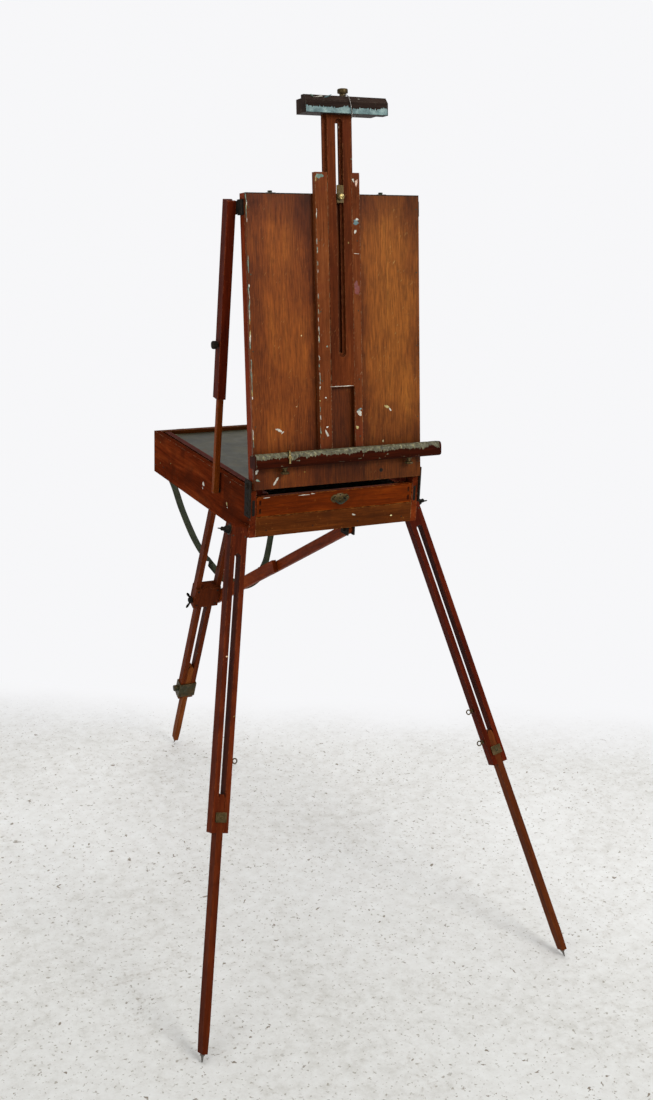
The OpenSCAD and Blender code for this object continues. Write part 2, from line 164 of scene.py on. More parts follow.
class Shader:
    """A node material with a builder for each kind of node."""

    def __init__(self, name):
        self.material = bpy.data.materials.new(name)
        self.material.use_nodes = True
        self.tree = self.material.node_tree
        self.tree.nodes.clear()
        self.output = self.node("OutputMaterial")
        self.bsdf = self.node("BsdfPrincipled")
        self.fill(self.output, {0: self.bsdf.outputs[0]})
        MATERIALS[name] = self.material

    def node(self, kind, inputs=None, **settings):
        node = self.tree.nodes.new("ShaderNode" + kind)
        for key, value in settings.items():
            setattr(node, key, value)
        self.fill(node, inputs or {})
        return node

    def fill(self, node, inputs):
        """Links each input to a socket, or sets it to a value."""
        for key, value in inputs.items():
            if hasattr(value, "is_output"):
                self.tree.links.new(value, node.inputs[key])
            elif value is not None:
                node.inputs[key].default_value = value

    def surface(self, inputs):
        self.fill(self.bsdf, inputs)

    def math(self, operation, a, b=None):
        return self.node("Math", {0: a, 1: b}, operation=operation).outputs[0]

    def add(self, a, b):
        return self.math("ADD", a, b)

    def mul(self, a, b):
        return self.math("MULTIPLY", a, b)

    def vector(self, operation, a, b=None):
        node = self.node("VectorMath", {0: a, 1: b}, operation=operation)
        return node.outputs["Value" if operation in ("DOT_PRODUCT", "LENGTH") else "Vector"]

    def scaled(self, vector, factor):
        node = self.node("VectorMath", {0: vector, 3: factor}, operation="SCALE")
        return node.outputs["Vector"]

    def coords(self):
        return self.node("TexCoord").outputs["Object"]

    def shifted(self, coords):
        """Coordinates moved by an amount of each object's own."""
        chance = self.node("ObjectInfo").outputs["Random"]
        return self.vector("ADD", coords, self.scaled((3.7, 2.1, 5.3), chance))

    def stretched(self, coords, grain, across, along):
        """Coordinates scaled by along in the grain direction and by across in the others."""
        grain = tuple(Vector(grain).normalized())
        lengthwise = self.scaled(grain, self.vector("DOT_PRODUCT", coords, grain))
        return self.vector("ADD", self.scaled(coords, across),
                           self.scaled(lengthwise, along - across))

    def noise(self, coords, scale, detail=3, rough=0.6, distortion=0.0, color=False):
        node = self.node("TexNoise", {"Vector": coords, "Scale": scale, "Detail": detail,
                                      "Roughness": rough, "Distortion": distortion})
        return node.outputs[1 if color else 0]

    def ramp(self, value, stops, interpolation="LINEAR"):
        """stops: (position, colour)."""
        node = self.node("ValToRGB", {0: value})
        node.color_ramp.interpolation = interpolation
        elements = node.color_ramp.elements
        while len(elements) > 1:
            elements.remove(elements[-1])
        elements[0].position, elements[0].color = stops[0]
        for position, color in stops[1:]:
            elements.new(position).color = color
        return node.outputs[0]

    def step(self, value, span, to=(0.0, 1.0)):
        """Smooth change between the two values of to, as value crosses the span."""
        inputs = {0: value, 1: span[0], 2: span[1], 3: to[0], 4: to[1]}
        return self.node("MapRange", inputs, interpolation_type="SMOOTHSTEP").outputs[0]

    def mix(self, factor, a, b, mode="MIX"):
        node = self.node("Mix", data_type="RGBA", blend_type=mode, clamp_factor=True)
        self.fill(node, {0: factor, 6: a, 7: b})
        return node.outputs[2]

    def tint(self, color, by):
        return self.mix(1.0, color, by, "MULTIPLY")

    def separate(self, vector):
        return self.node("SeparateXYZ", {0: vector}).outputs

    def bevel(self, radius):
        return self.node("Bevel", {0: radius}, samples=4).outputs[0]

    def edge(self, radius=0.0022):
        """1 on sharp edges, 0 on flat faces."""
        rounded = self.bevel(radius)
        normal = self.node("NewGeometry").outputs["Normal"]
        return self.step(self.vector("DOT_PRODUCT", rounded, normal), (0.995, 0.80))

    def crevice(self, distance=0.012):
        """1 in corners, 0 in the open."""
        node = self.node("AmbientOcclusion", {"Distance": distance}, samples=4)
        return self.step(node.outputs["AO"], (0.35, 0.95), to=(1.0, 0.0))

    def bump(self, height, strength, distance, bevel=None):
        """Sets the surface normal; bevel is the radius that rounds edges in shading."""
        node = self.node("Bump", {"Strength": strength, "Distance": distance, "Height": height})
        if bevel:
            self.fill(node, {"Normal": self.bevel(bevel)})
        self.surface({"Normal": node.outputs[0]})


EDGE_RADIUS = 0.0009  # shading bevel of wood and palette

# ---------------------------------------------------------------- wood


def wood(name, dark, mid, light, grain, tone=None, wear=0.5, worn=(176, 122, 84), rough=0.52,
         specular=0.025, speck=0.0, dirt_and_shade=0.6, stain=None, streak=0.35, calm=1.0, shade=None):
    """Varnished wood.

    dark, mid, light: tones of the figure; tone: factor on the finished colour.
    wear, worn: amount and colour of bare edges; speck: share of cells with a paint dot.
    streak: depth of the grain lines; calm: contrast of the figure, 1 for full.
    shade: function that gives a further colour factor from the object coordinates, such as painted
    light and shade.
    """
    mat = Shader(name)
    raw = mat.coords()
    coords = mat.shifted(raw)

    def streaks(across, along, detail=3, rough=0.6, distortion=0.0, way=grain):
        lengthened = mat.stretched(coords, way, across, along)
        return mat.noise(lengthened, 1.0, detail, rough, distortion)

    broad = streaks(across=22, along=3.0, detail=4, rough=0.55, distortion=0.6)
    narrow = streaks(across=75, along=5.0, rough=0.5, distortion=1.2)
    fine = streaks(across=700, along=22)
    pore = streaks(across=1700, along=60, detail=2, rough=0.5)
    figure = mat.add(mat.mul(broad, 0.62), mat.mul(narrow, 0.38))
    figure = mat.add(mat.mul(figure, calm), 0.5 - 0.5 * calm)
    color = mat.ramp(figure, [(0.30, srgb(*dark)), (0.5, srgb(*mid)), (0.68, srgb(*light))])
    fibres = [(0.25, (0.62, 0.60, 0.58, 1)), (0.6, (1.05, 1.04, 1.02, 1))]
    color = mat.tint(color, mat.ramp(fine, fibres))
    color = mat.mix(mat.step(pore, (0.36, 0.28), to=(0, 0.55)), color, srgb(38, 18, 10))
    lines = streaks(across=380, along=38, detail=2)
    line_tones = [(0.34, grey(1 - 0.42 * streak)), (0.62, grey(1 + 0.16 * streak))]
    color = mat.tint(color, mat.ramp(lines, line_tones))
    if stain is not None:
        patches = mat.noise(coords, scale=7.0, distortion=0.8)
        color = mat.mix(mat.step(patches, (0.5, 0.66), to=(0, 0.65)), color, srgb(*stain))
    mottle = mat.noise(coords, scale=46.0, detail=4, rough=0.65)
    dirt = mat.step(mottle, (0.50, 0.72), to=(0, 0.35 * dirt_and_shade))
    color = mat.mix(dirt, color, srgb(34, 19, 12))
    # painted shade in the corners, from ambient occlusion, and edges rubbed back to bare wood
    color = mat.mix(mat.mul(mat.crevice(), 0.55 * dirt_and_shade), color, srgb(26, 14, 9))
    edge = mat.edge()
    patchy = mat.step(mat.noise(coords, scale=140.0, rough=0.7), (0.44, 0.62), to=(0, wear))
    bare = mat.mul(edge, patchy)
    color = mat.mix(bare, color, srgb(*worn))
    # short scratches across the varnish
    scratch = streaks(across=900, along=30, detail=1, rough=0.4, way=(0.5, 0.2, 0.84))
    areas = mat.noise(coords, scale=30.0, detail=2, rough=0.55)
    areas = mat.step(areas, (0.5, 0.6), to=(0, 0.5))
    color = mat.mix(mat.mul(mat.step(scratch, (0.71, 0.76)), areas), color, srgb(*worn))
    roughness = mat.add(mat.mul(mottle, 0.22), rough - 0.11)
    roughness = mat.add(roughness, mat.mul(bare, 0.22))
    if speck > 0:
        color = paint_specks(mat, coords, color, speck)
    # painted light and shade laid on by the shade function
    if shade is not None:
        color = mat.tint(color, shade(mat, raw))
    if tone is not None:
        color = mat.tint(color, (*tone, 1.0))
    mat.surface({"Base Color": color, "Roughness": roughness,
                 "Specular IOR Level": specular, "Coat Roughness": 0.34})
    height = mat.add(mat.mul(fine, 0.6), mat.mul(pore, 0.7))
    height = mat.add(height, mat.mul(mottle, 0.5))
    mat.bump(height, strength=0.28, distance=0.0005, bevel=EDGE_RADIUS)


def paint_specks(mat, coords, color, share):
    """Dots of paint in a share of the cells, in one of four colours each."""
    jitter = mat.scaled(mat.noise(coords, scale=300.0, detail=2, rough=0.5, color=True), 0.004)
    cells = mat.node("TexVoronoi", {"Vector": mat.vector("ADD", coords, jitter), "Scale": 75.0})
    dot = mat.step(cells.outputs["Distance"], (0.16, 0.10))
    chance = mat.node("SeparateColor", {0: cells.outputs["Color"]}).outputs
    chosen = mat.step(chance[0], (1 - share - 0.01, 1 - share))
    dot_color = mat.ramp(chance[1], [
        (0.0, srgb(206, 200, 184)), (0.35, srgb(122, 148, 142)),
        (0.6, srgb(190, 176, 118)), (0.8, srgb(226, 222, 212))], "CONSTANT")
    return mat.mix(mat.mul(dot, chosen), color, dot_color)


def lid_painted_shade(mat, raw):
    """Painted shade by the guide and at the sides, and painted light in the open field of the lid;
    also darker at the top and bottom.
    """
    side_x = mat.separate(raw)[0]
    across = mat.math("ABSOLUTE", side_x)
    up = mat.math("SUBTRACT", mat.vector("DOT_PRODUCT", raw, LID_UP),
                  LID.translation.dot(Vector(LID_UP)))
    wobble = mat.math("SUBTRACT", mat.noise(raw, scale=30.0), 0.5)
    wobble = mat.mul(wobble, 0.03)
    across = mat.add(across, wobble)
    up = mat.add(up, wobble)
    sideways = mat.mul(mat.step(across, (0.045, 0.078), to=(0.62, 1.0)),
                       mat.step(across, (0.138, 0.176), to=(1.0, 0.74)))
    upward = mat.mul(mat.step(up, (0.44, 0.545), to=(1.06, 0.5)),
                     mat.step(up, (0.03, 0.17), to=(0.58, 1.0)))
    tall = mat.vector("MULTIPLY", raw, (1.0, 1.0, 0.55))
    blots = mat.noise(tall, scale=8.5, rough=0.55, distortion=0.5)
    right = mat.step(side_x, (-0.02, 0.10), to=(1.0, 1.08))
    uneven = mat.mul(right, mat.step(blots, (0.36, 0.66), to=(0.76, 1.2)))
    level = mat.mul(mat.mul(sideways, upward), uneven)
    hue = mat.mix(mat.step(side_x, (0.0, 0.12)), grey(1.0), (1.1, 1.32, 1.45, 1.0))
    return mat.tint(hue, mat.ramp(level, [
        (0.0, grey(0.0)), (0.55, (0.60, 0.50, 0.44, 1)),
        (0.85, (1.04, 1.0, 0.98, 1)), (1.0, (1.3, 1.34, 1.26, 1))]))


wood("wood_box_side", (58, 18, 8), (98, 34, 14), (128, 52, 22), GRAIN_Y, tone=(1.06, 1.25, 1.2),
     wear=0.8, speck=0.01, stain=(60, 22, 12), specular=0.0, worn=(140, 104, 80))
wood("wood_box_x", (58, 27, 12), (94, 48, 22), (124, 68, 32), GRAIN_X, tone=(0.98, 0.9, 0.5),
     wear=0.6, speck=0.02, stain=(64, 32, 18), worn=(186, 134, 88))
wood("wood_drawer", (70, 30, 10), (110, 52, 18), (140, 74, 28), GRAIN_X, tone=(0.87, 0.58, 0.2),
     wear=0.8, speck=0.02, stain=(80, 38, 18), worn=(196, 146, 98))
wood("wood_lid_face", (88, 42, 18), (128, 68, 30), (162, 98, 46), LID_UP,
     tone=(0.83, 0.76, 0.47), speck=0.008, rough=0.44, specular=0.09, worn=(190, 150, 110),
     streak=0.75, shade=lid_painted_shade, calm=0.42)
wood("wood_lid_frame", (80, 26, 10), (120, 46, 20), (150, 66, 30), LID_UP,
     tone=(0.9, 0.78, 0.55), wear=0.9, speck=0.03, worn=(188, 170, 146))
wood("wood_guide", (76, 36, 18), (108, 56, 30), (132, 76, 42), LID_UP, tone=(0.91, 0.84, 0.71),
     wear=0.8, speck=0.05, stain=(100, 46, 30), worn=(168, 150, 124))
wood("wood_mast", (68, 30, 13), (100, 49, 24), (126, 67, 34), LID_UP, tone=(0.77, 0.67, 0.55),
     wear=0.7, speck=0.02, stain=(92, 40, 22))
wood("wood_ledge", (36, 16, 9), (62, 27, 14), (92, 42, 22), GRAIN_X, tone=(0.6, 0.36, 0.18),
     wear=0.6, speck=0.06, worn=(150, 120, 86))
wood("wood_head", (28, 20, 17), (46, 34, 28), (66, 50, 42), GRAIN_X,
     speck=0.05, worn=(120, 120, 108))
for side, letter, leg_tone, shank_tone in (
        (-1, "l", (0.9, 0.66, 0.42), (0.6, 0.34, 0.2)),
        (1, "r", (0.8, 0.42, 0.25), (0.8, 0.65, 0.4))):
    leg_up = piece_axis(leg_place(side))
    wood("wood_leg_" + letter, (56, 22, 11), (92, 40, 20), (122, 60, 32), leg_up,
         tone=leg_tone, speck=0.01, stain=(70, 28, 16), worn=(178, 116, 78))
    wood("wood_shank_" + letter, (72, 34, 18), (106, 56, 32), (134, 78, 46), leg_up,
         tone=shank_tone, speck=0.006, stain=(96, 48, 28))
wood("wood_rear", (58, 24, 12), (92, 42, 20), (120, 60, 30), REAR_UP, tone=(1.05, 0.85, 0.5),
     speck=0.01)
wood("wood_rear_foot", (84, 42, 20), (120, 66, 34), (146, 88, 48), REAR_UP,
     tone=(0.85, 0.7, 0.44))
wood("wood_stay", (50, 18, 10), (84, 32, 17), (112, 48, 26), STAY_UP, tone=(0.95, 0.66, 0.4),
     wear=0.7, worn=(176, 112, 80))
wood("wood_rod", (92, 44, 18), (126, 66, 28), (150, 88, 42), STAY_UP, tone=(0.87, 0.68, 0.4),
     wear=0.4)
wood("wood_brace", (80, 34, 14), (118, 56, 24), (144, 76, 36), BRACE_ALONG,
     tone=(0.98, 0.68, 0.38), worn=(182, 120, 80))
for name, grain in (("wood_inner", GRAIN_Y), ("wood_inner_x", GRAIN_X)):
    wood(name, (96, 60, 34), (132, 90, 54), (156, 112, 70), grain,
         wear=0.2, dirt_and_shade=1.0, rough=0.6)
wood("wood_rim", (58, 20, 12), (92, 36, 22), (116, 54, 34), GRAIN_Y, tone=(0.8, 0.62, 0.5),
     wear=0.9, worn=(150, 120, 96))

# ---------------------------------------------------------------- metal and paint


def metal(name, base, patch, bright, metallic, rough, wear=0.6, verdigris=None):
    """Patchy metal with bright rubbed edges and, if given, verdigris in corners and patches."""
    mat = Shader(name)
    coords = mat.shifted(mat.coords())
    blotch = mat.noise(coords, scale=90.0, detail=5, rough=0.7)
    fine = mat.noise(coords, scale=420.0)
    color = mat.ramp(blotch, [(0.35, srgb(*base)), (0.62, srgb(*patch))])
    if verdigris is not None:
        green = srgb(*verdigris)
        broad = mat.noise(coords, scale=26.0, detail=2, rough=0.5)
        patches = mat.mul(mat.step(broad, (0.48, 0.62)),
                          mat.step(fine, (0.4, 0.6), to=(0.2, 0.8)))
        color = mat.mix(patches, color, green)
        color = mat.mix(mat.mul(mat.crevice(0.004), 0.6), color, green)
    rubbed = mat.mul(mat.edge(0.0012), mat.step(fine, (0.38, 0.58), to=(0.1, wear)))
    color = mat.mix(rubbed, color, srgb(*bright))
    mat.surface({
        "Base Color": color,
        "Metallic": mat.mul(mat.step(blotch, (0.7, 0.45), to=(0.55, 1.0)), metallic),
        "Specular IOR Level": 0.5 if metallic > 0.2 else 0.12,
        "Roughness": mat.add(mat.mul(fine, 0.3), rough - 0.15)})
    mat.bump(mat.add(blotch, fine), strength=0.25, distance=0.0004, bevel=0.0005)


def paint(name, stops, rough, scale, bump=0.6):
    """Dried paint; stops are (position, colour), scale sets the size of its patches."""
    mat = Shader(name)
    coords = mat.shifted(mat.coords())
    warp = mat.noise(coords, scale=scale * 0.5, detail=2, rough=0.5, color=True)
    warped = mat.vector("ADD", coords, mat.scaled(warp, 0.02))
    patches = mat.noise(warped, scale=scale, detail=4, rough=0.62, distortion=0.4)
    fine = mat.noise(coords, scale=scale * 7)
    color = mat.ramp(patches, [(position, srgb(*tone)) for position, tone in stops])
    color = mat.tint(color, mat.ramp(fine, [(0.3, grey(0.72)), (0.62, grey(1.08))]))
    mat.surface({"Base Color": color,
                 "Roughness": mat.add(mat.mul(fine, 0.35), rough - 0.17)})
    mat.bump(mat.add(patches, mat.mul(fine, 0.5)), strength=bump, distance=0.0009)


metal("iron", (17, 16, 13), (31, 25, 19), (88, 70, 50), metallic=0.05, rough=0.8)
metal("bronze", (58, 48, 26), (84, 66, 36), (158, 128, 70), metallic=0.85, rough=0.5,
      verdigris=(46, 58, 42))
metal("bronze_dark", (34, 32, 22), (52, 46, 30), (110, 92, 54), metallic=0.7, rough=0.5,
      wear=0.5, verdigris=(36, 60, 50))
metal("brass_bright", (128, 112, 70), (160, 140, 88), (226, 210, 160), metallic=1.0,
      rough=0.32, wear=0.8)
metal("steel", (96, 94, 90), (128, 124, 118), (196, 192, 184), metallic=1.0, rough=0.4)
metal("zinc", (118, 118, 112), (146, 146, 140), (190, 188, 180), metallic=0.9, rough=0.5)
paint("paint_crust", [
    (0.30, (30, 26, 18)), (0.38, (52, 50, 30)), (0.43, (96, 82, 40)), (0.46, (44, 52, 36)),
    (0.50, (98, 94, 66)), (0.53, (52, 44, 26)), (0.56, (138, 132, 104)), (0.60, (70, 76, 52)),
    (0.64, (134, 122, 66)), (0.69, (178, 172, 150)), (0.74, (48, 38, 24))],
    rough=0.55, scale=150.0, bump=0.9)
# Single colours: dark, mid and light tones, roughness, patch scale
PAINTS = {
    "blue": ((54, 80, 82), (88, 116, 115), (132, 156, 151), 0.55, 60.0),
    "white": ((150, 146, 130), (196, 192, 176), (226, 222, 208), 0.5, 120.0),
    "teal": ((58, 84, 72), (96, 122, 106), (150, 160, 140), 0.55, 90.0),
    "ochre": ((128, 110, 54), (168, 150, 84), (196, 184, 128), 0.5, 110.0),
    "pink": ((160, 112, 92), (196, 158, 134), (226, 200, 180), 0.5, 120.0),
    "red": ((84, 24, 16), (104, 32, 20), (120, 44, 26), 0.5, 120.0),
}
for name, (dark, mid, light, rough, scale) in PAINTS.items():
    paint("paint_" + name, [(0.3, dark), (0.5, mid), (0.7, light)], rough=rough, scale=scale)


def palette_material():
    mat = Shader("palette_face")
    coords = mat.shifted(mat.coords())
    broad = mat.noise(coords, scale=9.0, detail=4, distortion=0.8)
    mottle = mat.noise(coords, scale=40.0, detail=4, rough=0.65)
    fine = mat.noise(coords, scale=380.0)
    color = mat.ramp(broad, [(0.3, srgb(54, 56, 46)), (0.48, srgb(84, 86, 72)),
                             (0.62, srgb(112, 112, 96)), (0.75, srgb(70, 72, 58))])
    color = mat.mix(mat.step(mottle, (0.56, 0.7), to=(0, 0.6)), color, srgb(134, 134, 118))
    # ochre and pale smears: scale, span, colour
    for scale, span, smear in ((22.0, (0.64, 0.72), (120, 96, 58)),
                               (31.0, (0.66, 0.73), (168, 166, 150))):
        smears = mat.step(mat.noise(coords, scale, distortion=0.5), span, to=(0, 0.8))
        color = mat.mix(smears, color, srgb(*smear))
    color = mat.tint(color, (0.42, 0.37, 0.24, 1.0))
    mat.surface({"Specular IOR Level": 0.3, "Base Color": color,
                 "Roughness": mat.add(mat.mul(mottle, 0.3), 0.26)})
    mat.bump(mat.add(mottle, mat.mul(fine, 0.3)), strength=0.35, distance=0.0006,
             bevel=EDGE_RADIUS)


def webbing_material():
    """Woven strap; its weave attribute holds millimetres across and along."""
    mat = Shader("webbing")
    weave_at = mat.node("Attribute", attribute_name="weave").outputs["Vector"]
    place = mat.separate(weave_at)
    coords = mat.shifted(mat.coords())
    threads = [mat.math("SINE", mat.mul(distance, 2 * math.pi / pitch))
               for distance, pitch in ((place[0], 1.3), (place[1], 1.9))]
    weave = mat.mul(*threads)
    fade = mat.noise(coords, scale=55.0, detail=4)
    color = mat.ramp(fade, [(0.3, srgb(28, 33, 20)), (0.5, srgb(44, 50, 31)),
                            (0.7, srgb(62, 67, 45))])
    color = mat.mix(mat.step(weave, (-0.2, 0.8), to=(0, 0.35)), color, srgb(72, 77, 54))
    soiled = mat.step(mat.noise(coords, scale=17.0), (0.55, 0.7), to=(0, 0.5))
    color = mat.mix(soiled, color, srgb(48, 36, 22))
    mat.surface({"Base Color": color, "Roughness": 0.88, "Sheen Weight": 0.04,
                 "Specular IOR Level": 0.1})
    mat.bump(weave, strength=0.5, distance=0.0005)


palette_material()
webbing_material()

# ---------------------------------------------------------------- mesh building


def angles(count):
    return [2 * math.pi * j / count for j in range(count)]


def spaced(start, length, steps):
    return [start + length * i / steps for i in range(steps + 1)]


def ring_faces(rings, count):
    """Quads between closed rings of count points, and a cap on each end."""
    faces = []
    for i in range(rings - 1):
        for j in range(count):
            a, b = i * count + j, i * count + (j + 1) % count
            faces.append((a, b, b + count, a + count))
    faces.append(tuple(range(count - 1, -1, -1)))
    faces.append(tuple(range((rings - 1) * count, rings * count)))
    return faces


def shell_faces(stations, width):
    """Closed thin shell of two grids of points, the outer grid first, stations by width."""
    faces = []
    under = stations * width
    for i in range(stations - 1):
        for j in range(width - 1):
            a = i * width + j
            faces.append((a, a + 1, a + 1 + width, a + width))
    for i in range(stations - 1):
        for j in range(width - 1):
            a = under + i * width + j
            faces.append((a, a + width, a + 1 + width, a + 1))
    for i in range(stations - 1):
        for j in (0, width - 1):
            a = i * width + j
            faces.append((a, a + width, under + a + width, under + a))
    for i in (0, stations - 1):
        for j in range(width - 1):
            a = i * width + j
            faces.append((a, under + a, under + a + 1, a + 1))
    return faces


def spline(points, steps):
    """Smooth curve through the points, with a number of steps between each two."""
    points = [Vector(p) for p in points]
    out = []
    for i in range(len(points) - 1):
        a, b, c = points[max(0, i - 1)], points[i], points[i + 1]
        d = points[min(len(points) - 1, i + 2)]
        for k in range(steps):
            t = k / steps
            out.append(0.5 * (2 * b + (c - a) * t + (2 * a - 5 * b + 4 * c - d) * t * t
                              + (3 * b - a - 3 * c + d) * t ** 3))
    out.append(points[-1])
    return out


def add_bevel(obj, width):
    bevel = obj.modifiers.new("bevel", "BEVEL")
    bevel.width = width
    bevel.segments = 2
    bevel.limit_method = "ANGLE"
    bevel.angle_limit = math.radians(40)


class Shape:
    """Collects parts in millimetres, each put in place by a matrix, into one object."""

    def __init__(self):
        self.verts = []
        self.faces = []

    def add(self, verts, faces, place):
        first = len(self.verts)
        self.verts += [place @ Vector(p) for p in verts]
        self.faces += [[i + first for i in face] for face in faces]
        return self

    def box(self, low, high, place):
        (x0, y0, z0), (x1, y1, z1) = low, high
        verts = [(x, y, z) for z in (z0, z1)
                 for x, y in ((x0, y0), (x1, y0), (x1, y1), (x0, y1))]
        faces = [(0, 3, 2, 1), (4, 5, 6, 7), (0, 1, 5, 4), (1, 2, 6, 5), (2, 3, 7, 6),
                 (3, 0, 4, 7)]
        return self.add(verts, faces, place)

    def lathe(self, profile, sides, place, knurl=None):
        """profile: (radius, height) up local z.

        knurl: first and last profile rows, number of grooves, depth.
        """
        verts = []
        for i, (radius, z) in enumerate(profile):
            for angle in angles(sides):
                r = radius
                if knurl and knurl[0] <= i <= knurl[1]:
                    r -= knurl[3] * (0.5 - 0.5 * math.cos(angle * knurl[2]))
                verts.append((r * math.cos(angle), r * math.sin(angle), z))
        return self.add(verts, ring_faces(len(profile), sides), place)

    def tube(self, path, radius, sides, place):
        """radius: one number, or a list with one for each path point."""
        verts = []
        points = [Vector(p) for p in path]
        up = None
        for i, point in enumerate(points):
            ahead = points[min(i + 1, len(points) - 1)]
            tangent = (ahead - points[max(i - 1, 0)]).normalized()
            if up is None:
                up = Vector((0, 0, 1)) if abs(tangent.z) < 0.9 else Vector((1, 0, 0))
            side = tangent.cross(up).normalized()
            up = side.cross(tangent).normalized()
            r = radius[i] if isinstance(radius, list) else radius
            for angle in angles(sides):
                verts.append(point + side * r * math.cos(angle) + up * r * math.sin(angle))
        return self.add(verts, ring_faces(len(points), sides), place)

    def prism(self, outline, z0, z1, place, inset=0.0):
        """Outline in local xy raised from z0 to z1; inset draws in the top edge."""
        count = len(outline)
        rings = [(z0, 0.0), (z1, 0.0)]
        if inset:
            rings = [(z0, 0.0), (z0 + (z1 - z0) * 0.6, 0.0), (z1, inset)]
        cx = sum(p[0] for p in outline) / count
        cy = sum(p[1] for p in outline) / count
        verts = []
        for z, drawn_in in rings:
            for x, y in outline:
                reach = math.hypot(x - cx, y - cy) or 1.0
                factor = max(0.0, 1 - drawn_in / reach)
                verts.append((cx + (x - cx) * factor, cy + (y - cy) * factor, z))
        return self.add(verts, ring_faces(len(rings), count), place)

    def screw(self, place, radius, height):
        """Domed head."""
        profile = [(radius * 0.98, -0.6), (radius, 0.15 * height), (radius * 0.9, 0.6 * height),
                   (radius * 0.6, 0.9 * height), (radius * 0.2, height)]
        return self.lathe(profile, 24, place)

    def slotted(self, place, radius, height, angle):
        """Head in two halves with a cut slot between them, turned by angle."""
        gap = 0.13 * radius
        for sign in (1, -1):
            outline = []
            for k in range(15):
                t = math.pi * k / 14
                outline.append((radius * math.cos(t), sign * max(gap, radius * math.sin(t))))
            if sign < 0:
                outline.reverse()
            self.prism(outline, 0.0, height, place @ turn(angle, "Z"), inset=0.28 * radius)
        return self.lathe([(radius * 0.99, -0.6), (radius * 0.99, height * 0.42)], 24, place)

    def build(self, name, material, body, slot, bevel=0.0, subsurf=0, replaces=None):
        mesh = bpy.data.meshes.new(name)
        mesh.from_pydata([tuple(p) for p in self.verts], [], self.faces)
        work = bmesh.new()
        work.from_mesh(mesh)
        bmesh.ops.recalc_face_normals(work, faces=work.faces)
        work.to_mesh(mesh)
        work.free()
        obj = bpy.data.objects.new(name, mesh)
        bpy.context.scene.collection.objects.link(obj)
        mesh.materials.append(MATERIALS[material])
        for polygon in mesh.polygons:
            polygon.use_smooth = True
        mesh.set_sharp_from_angle(angle=math.radians(40))
        if bevel:
            add_bevel(obj, bevel / 1000.0)
        if subsurf:
            modifier = obj.modifiers.new("sub", "SUBSURF")
            modifier.levels = modifier.render_levels = subsurf
        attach(obj, body)
        if replaces:
            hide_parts(replaces)
        return obj


# ---------------------------------------------------------------- finish of the CAD pieces
FINISHES = {
    "wood_box_side": "box_side_left box_side_right leg_wedges",
    "wood_box_x": "box_back box_front_rail rear_hinge_block",
    "wood_inner": "box_bottom drawer_carcass",
    "wood_inner_x": "drawer_bottom",
    "wood_rim": "inner_rails",
    "wood_drawer": "drawer_front",
    "wood_lid_face": "lid_panel",
    "wood_lid_frame": "lid_frame",
    "wood_guide": "mast_guide",
    "wood_mast": "mast",
    "wood_head": "head_front head_back",
    "wood_ledge": "ledge",
    "wood_rod": "stay_rod_left",
    "wood_stay": "stay_channel_left",
    "wood_leg_l": "leg_left_outer",
    "wood_leg_r": "leg_right_outer",
    "wood_shank_l": "leg_left_inner",
    "wood_shank_r": "leg_right_inner",
    "wood_rear": "rear_yoke rear_middle",
    "wood_rear_foot": "rear_foot",
    "wood_brace": "brace_upper brace_lower",
    "iron": "side_irons leg_bolts rear_hinge_pin brace_bracket strap_anchors stay_brackets "
            "stay_knob_left leg_left_wing leg_right_wing rear_wing",
    "bronze": "mast_clamp leg_left_clamp leg_right_clamp rear_clamp ledge_screws head_screw",
    "bronze_dark": "back_latches lid_catches pull_plate pull_bail",
    "brass_bright": "ledge_hook",
    "steel": "leg_left_spike leg_right_spike rear_spike",
    "zinc": "drawer_tray",
    "palette_face": "palette",
    "webbing": "carry_strap",
}
FINISH_OF = {piece: finish for finish, pieces in FINISHES.items() for piece in pieces.split()}
FINELY_BEVELLED = ("side_irons", "palette", "mast_clamp", "rear_clamp", "leg_left_clamp",
                   "leg_right_clamp")
for name, obj in frame["nodes"].items():
    finish = FINISH_OF[name]
    if len(obj.material_slots) == 0:
        obj.data.materials.append(MATERIALS[finish])
    for slot in obj.material_slots:
        slot.material = MATERIALS[finish]
    if finish.startswith("wood"):
        add_bevel(obj, 0.0009)
    elif name in FINELY_BEVELLED:
        add_bevel(obj, 0.0004)

# ---------------------------------------------------------------- ledge
LEDGE_BOTTOM = 42.0
LEDGE_DEPTH = 28.0
LEDGE_LEFT, LEDGE_RIGHT = -190, 215
# Section from the back foot round the front and top: (distance behind the front face, height)
LEDGE_SECTION = [(behind - LEDGE_DEPTH, height) for behind, height in (
    (27.8, 0.3), (4.5, 0.0), (1.8, 1.2), (0.6, 3.4), (0.2, 6.5), (0.0, 12.0), (0.1, 18.0),
    (0.5, 22.5), (1.6, 25.6), (3.6, 27.4), (6.2, 28.2), (8.8, 27.9), (10.8, 26.6),
    (12.4, 25.2), (15.0, 24.6), (20.0, 24.4), (27.8, 24.5))]


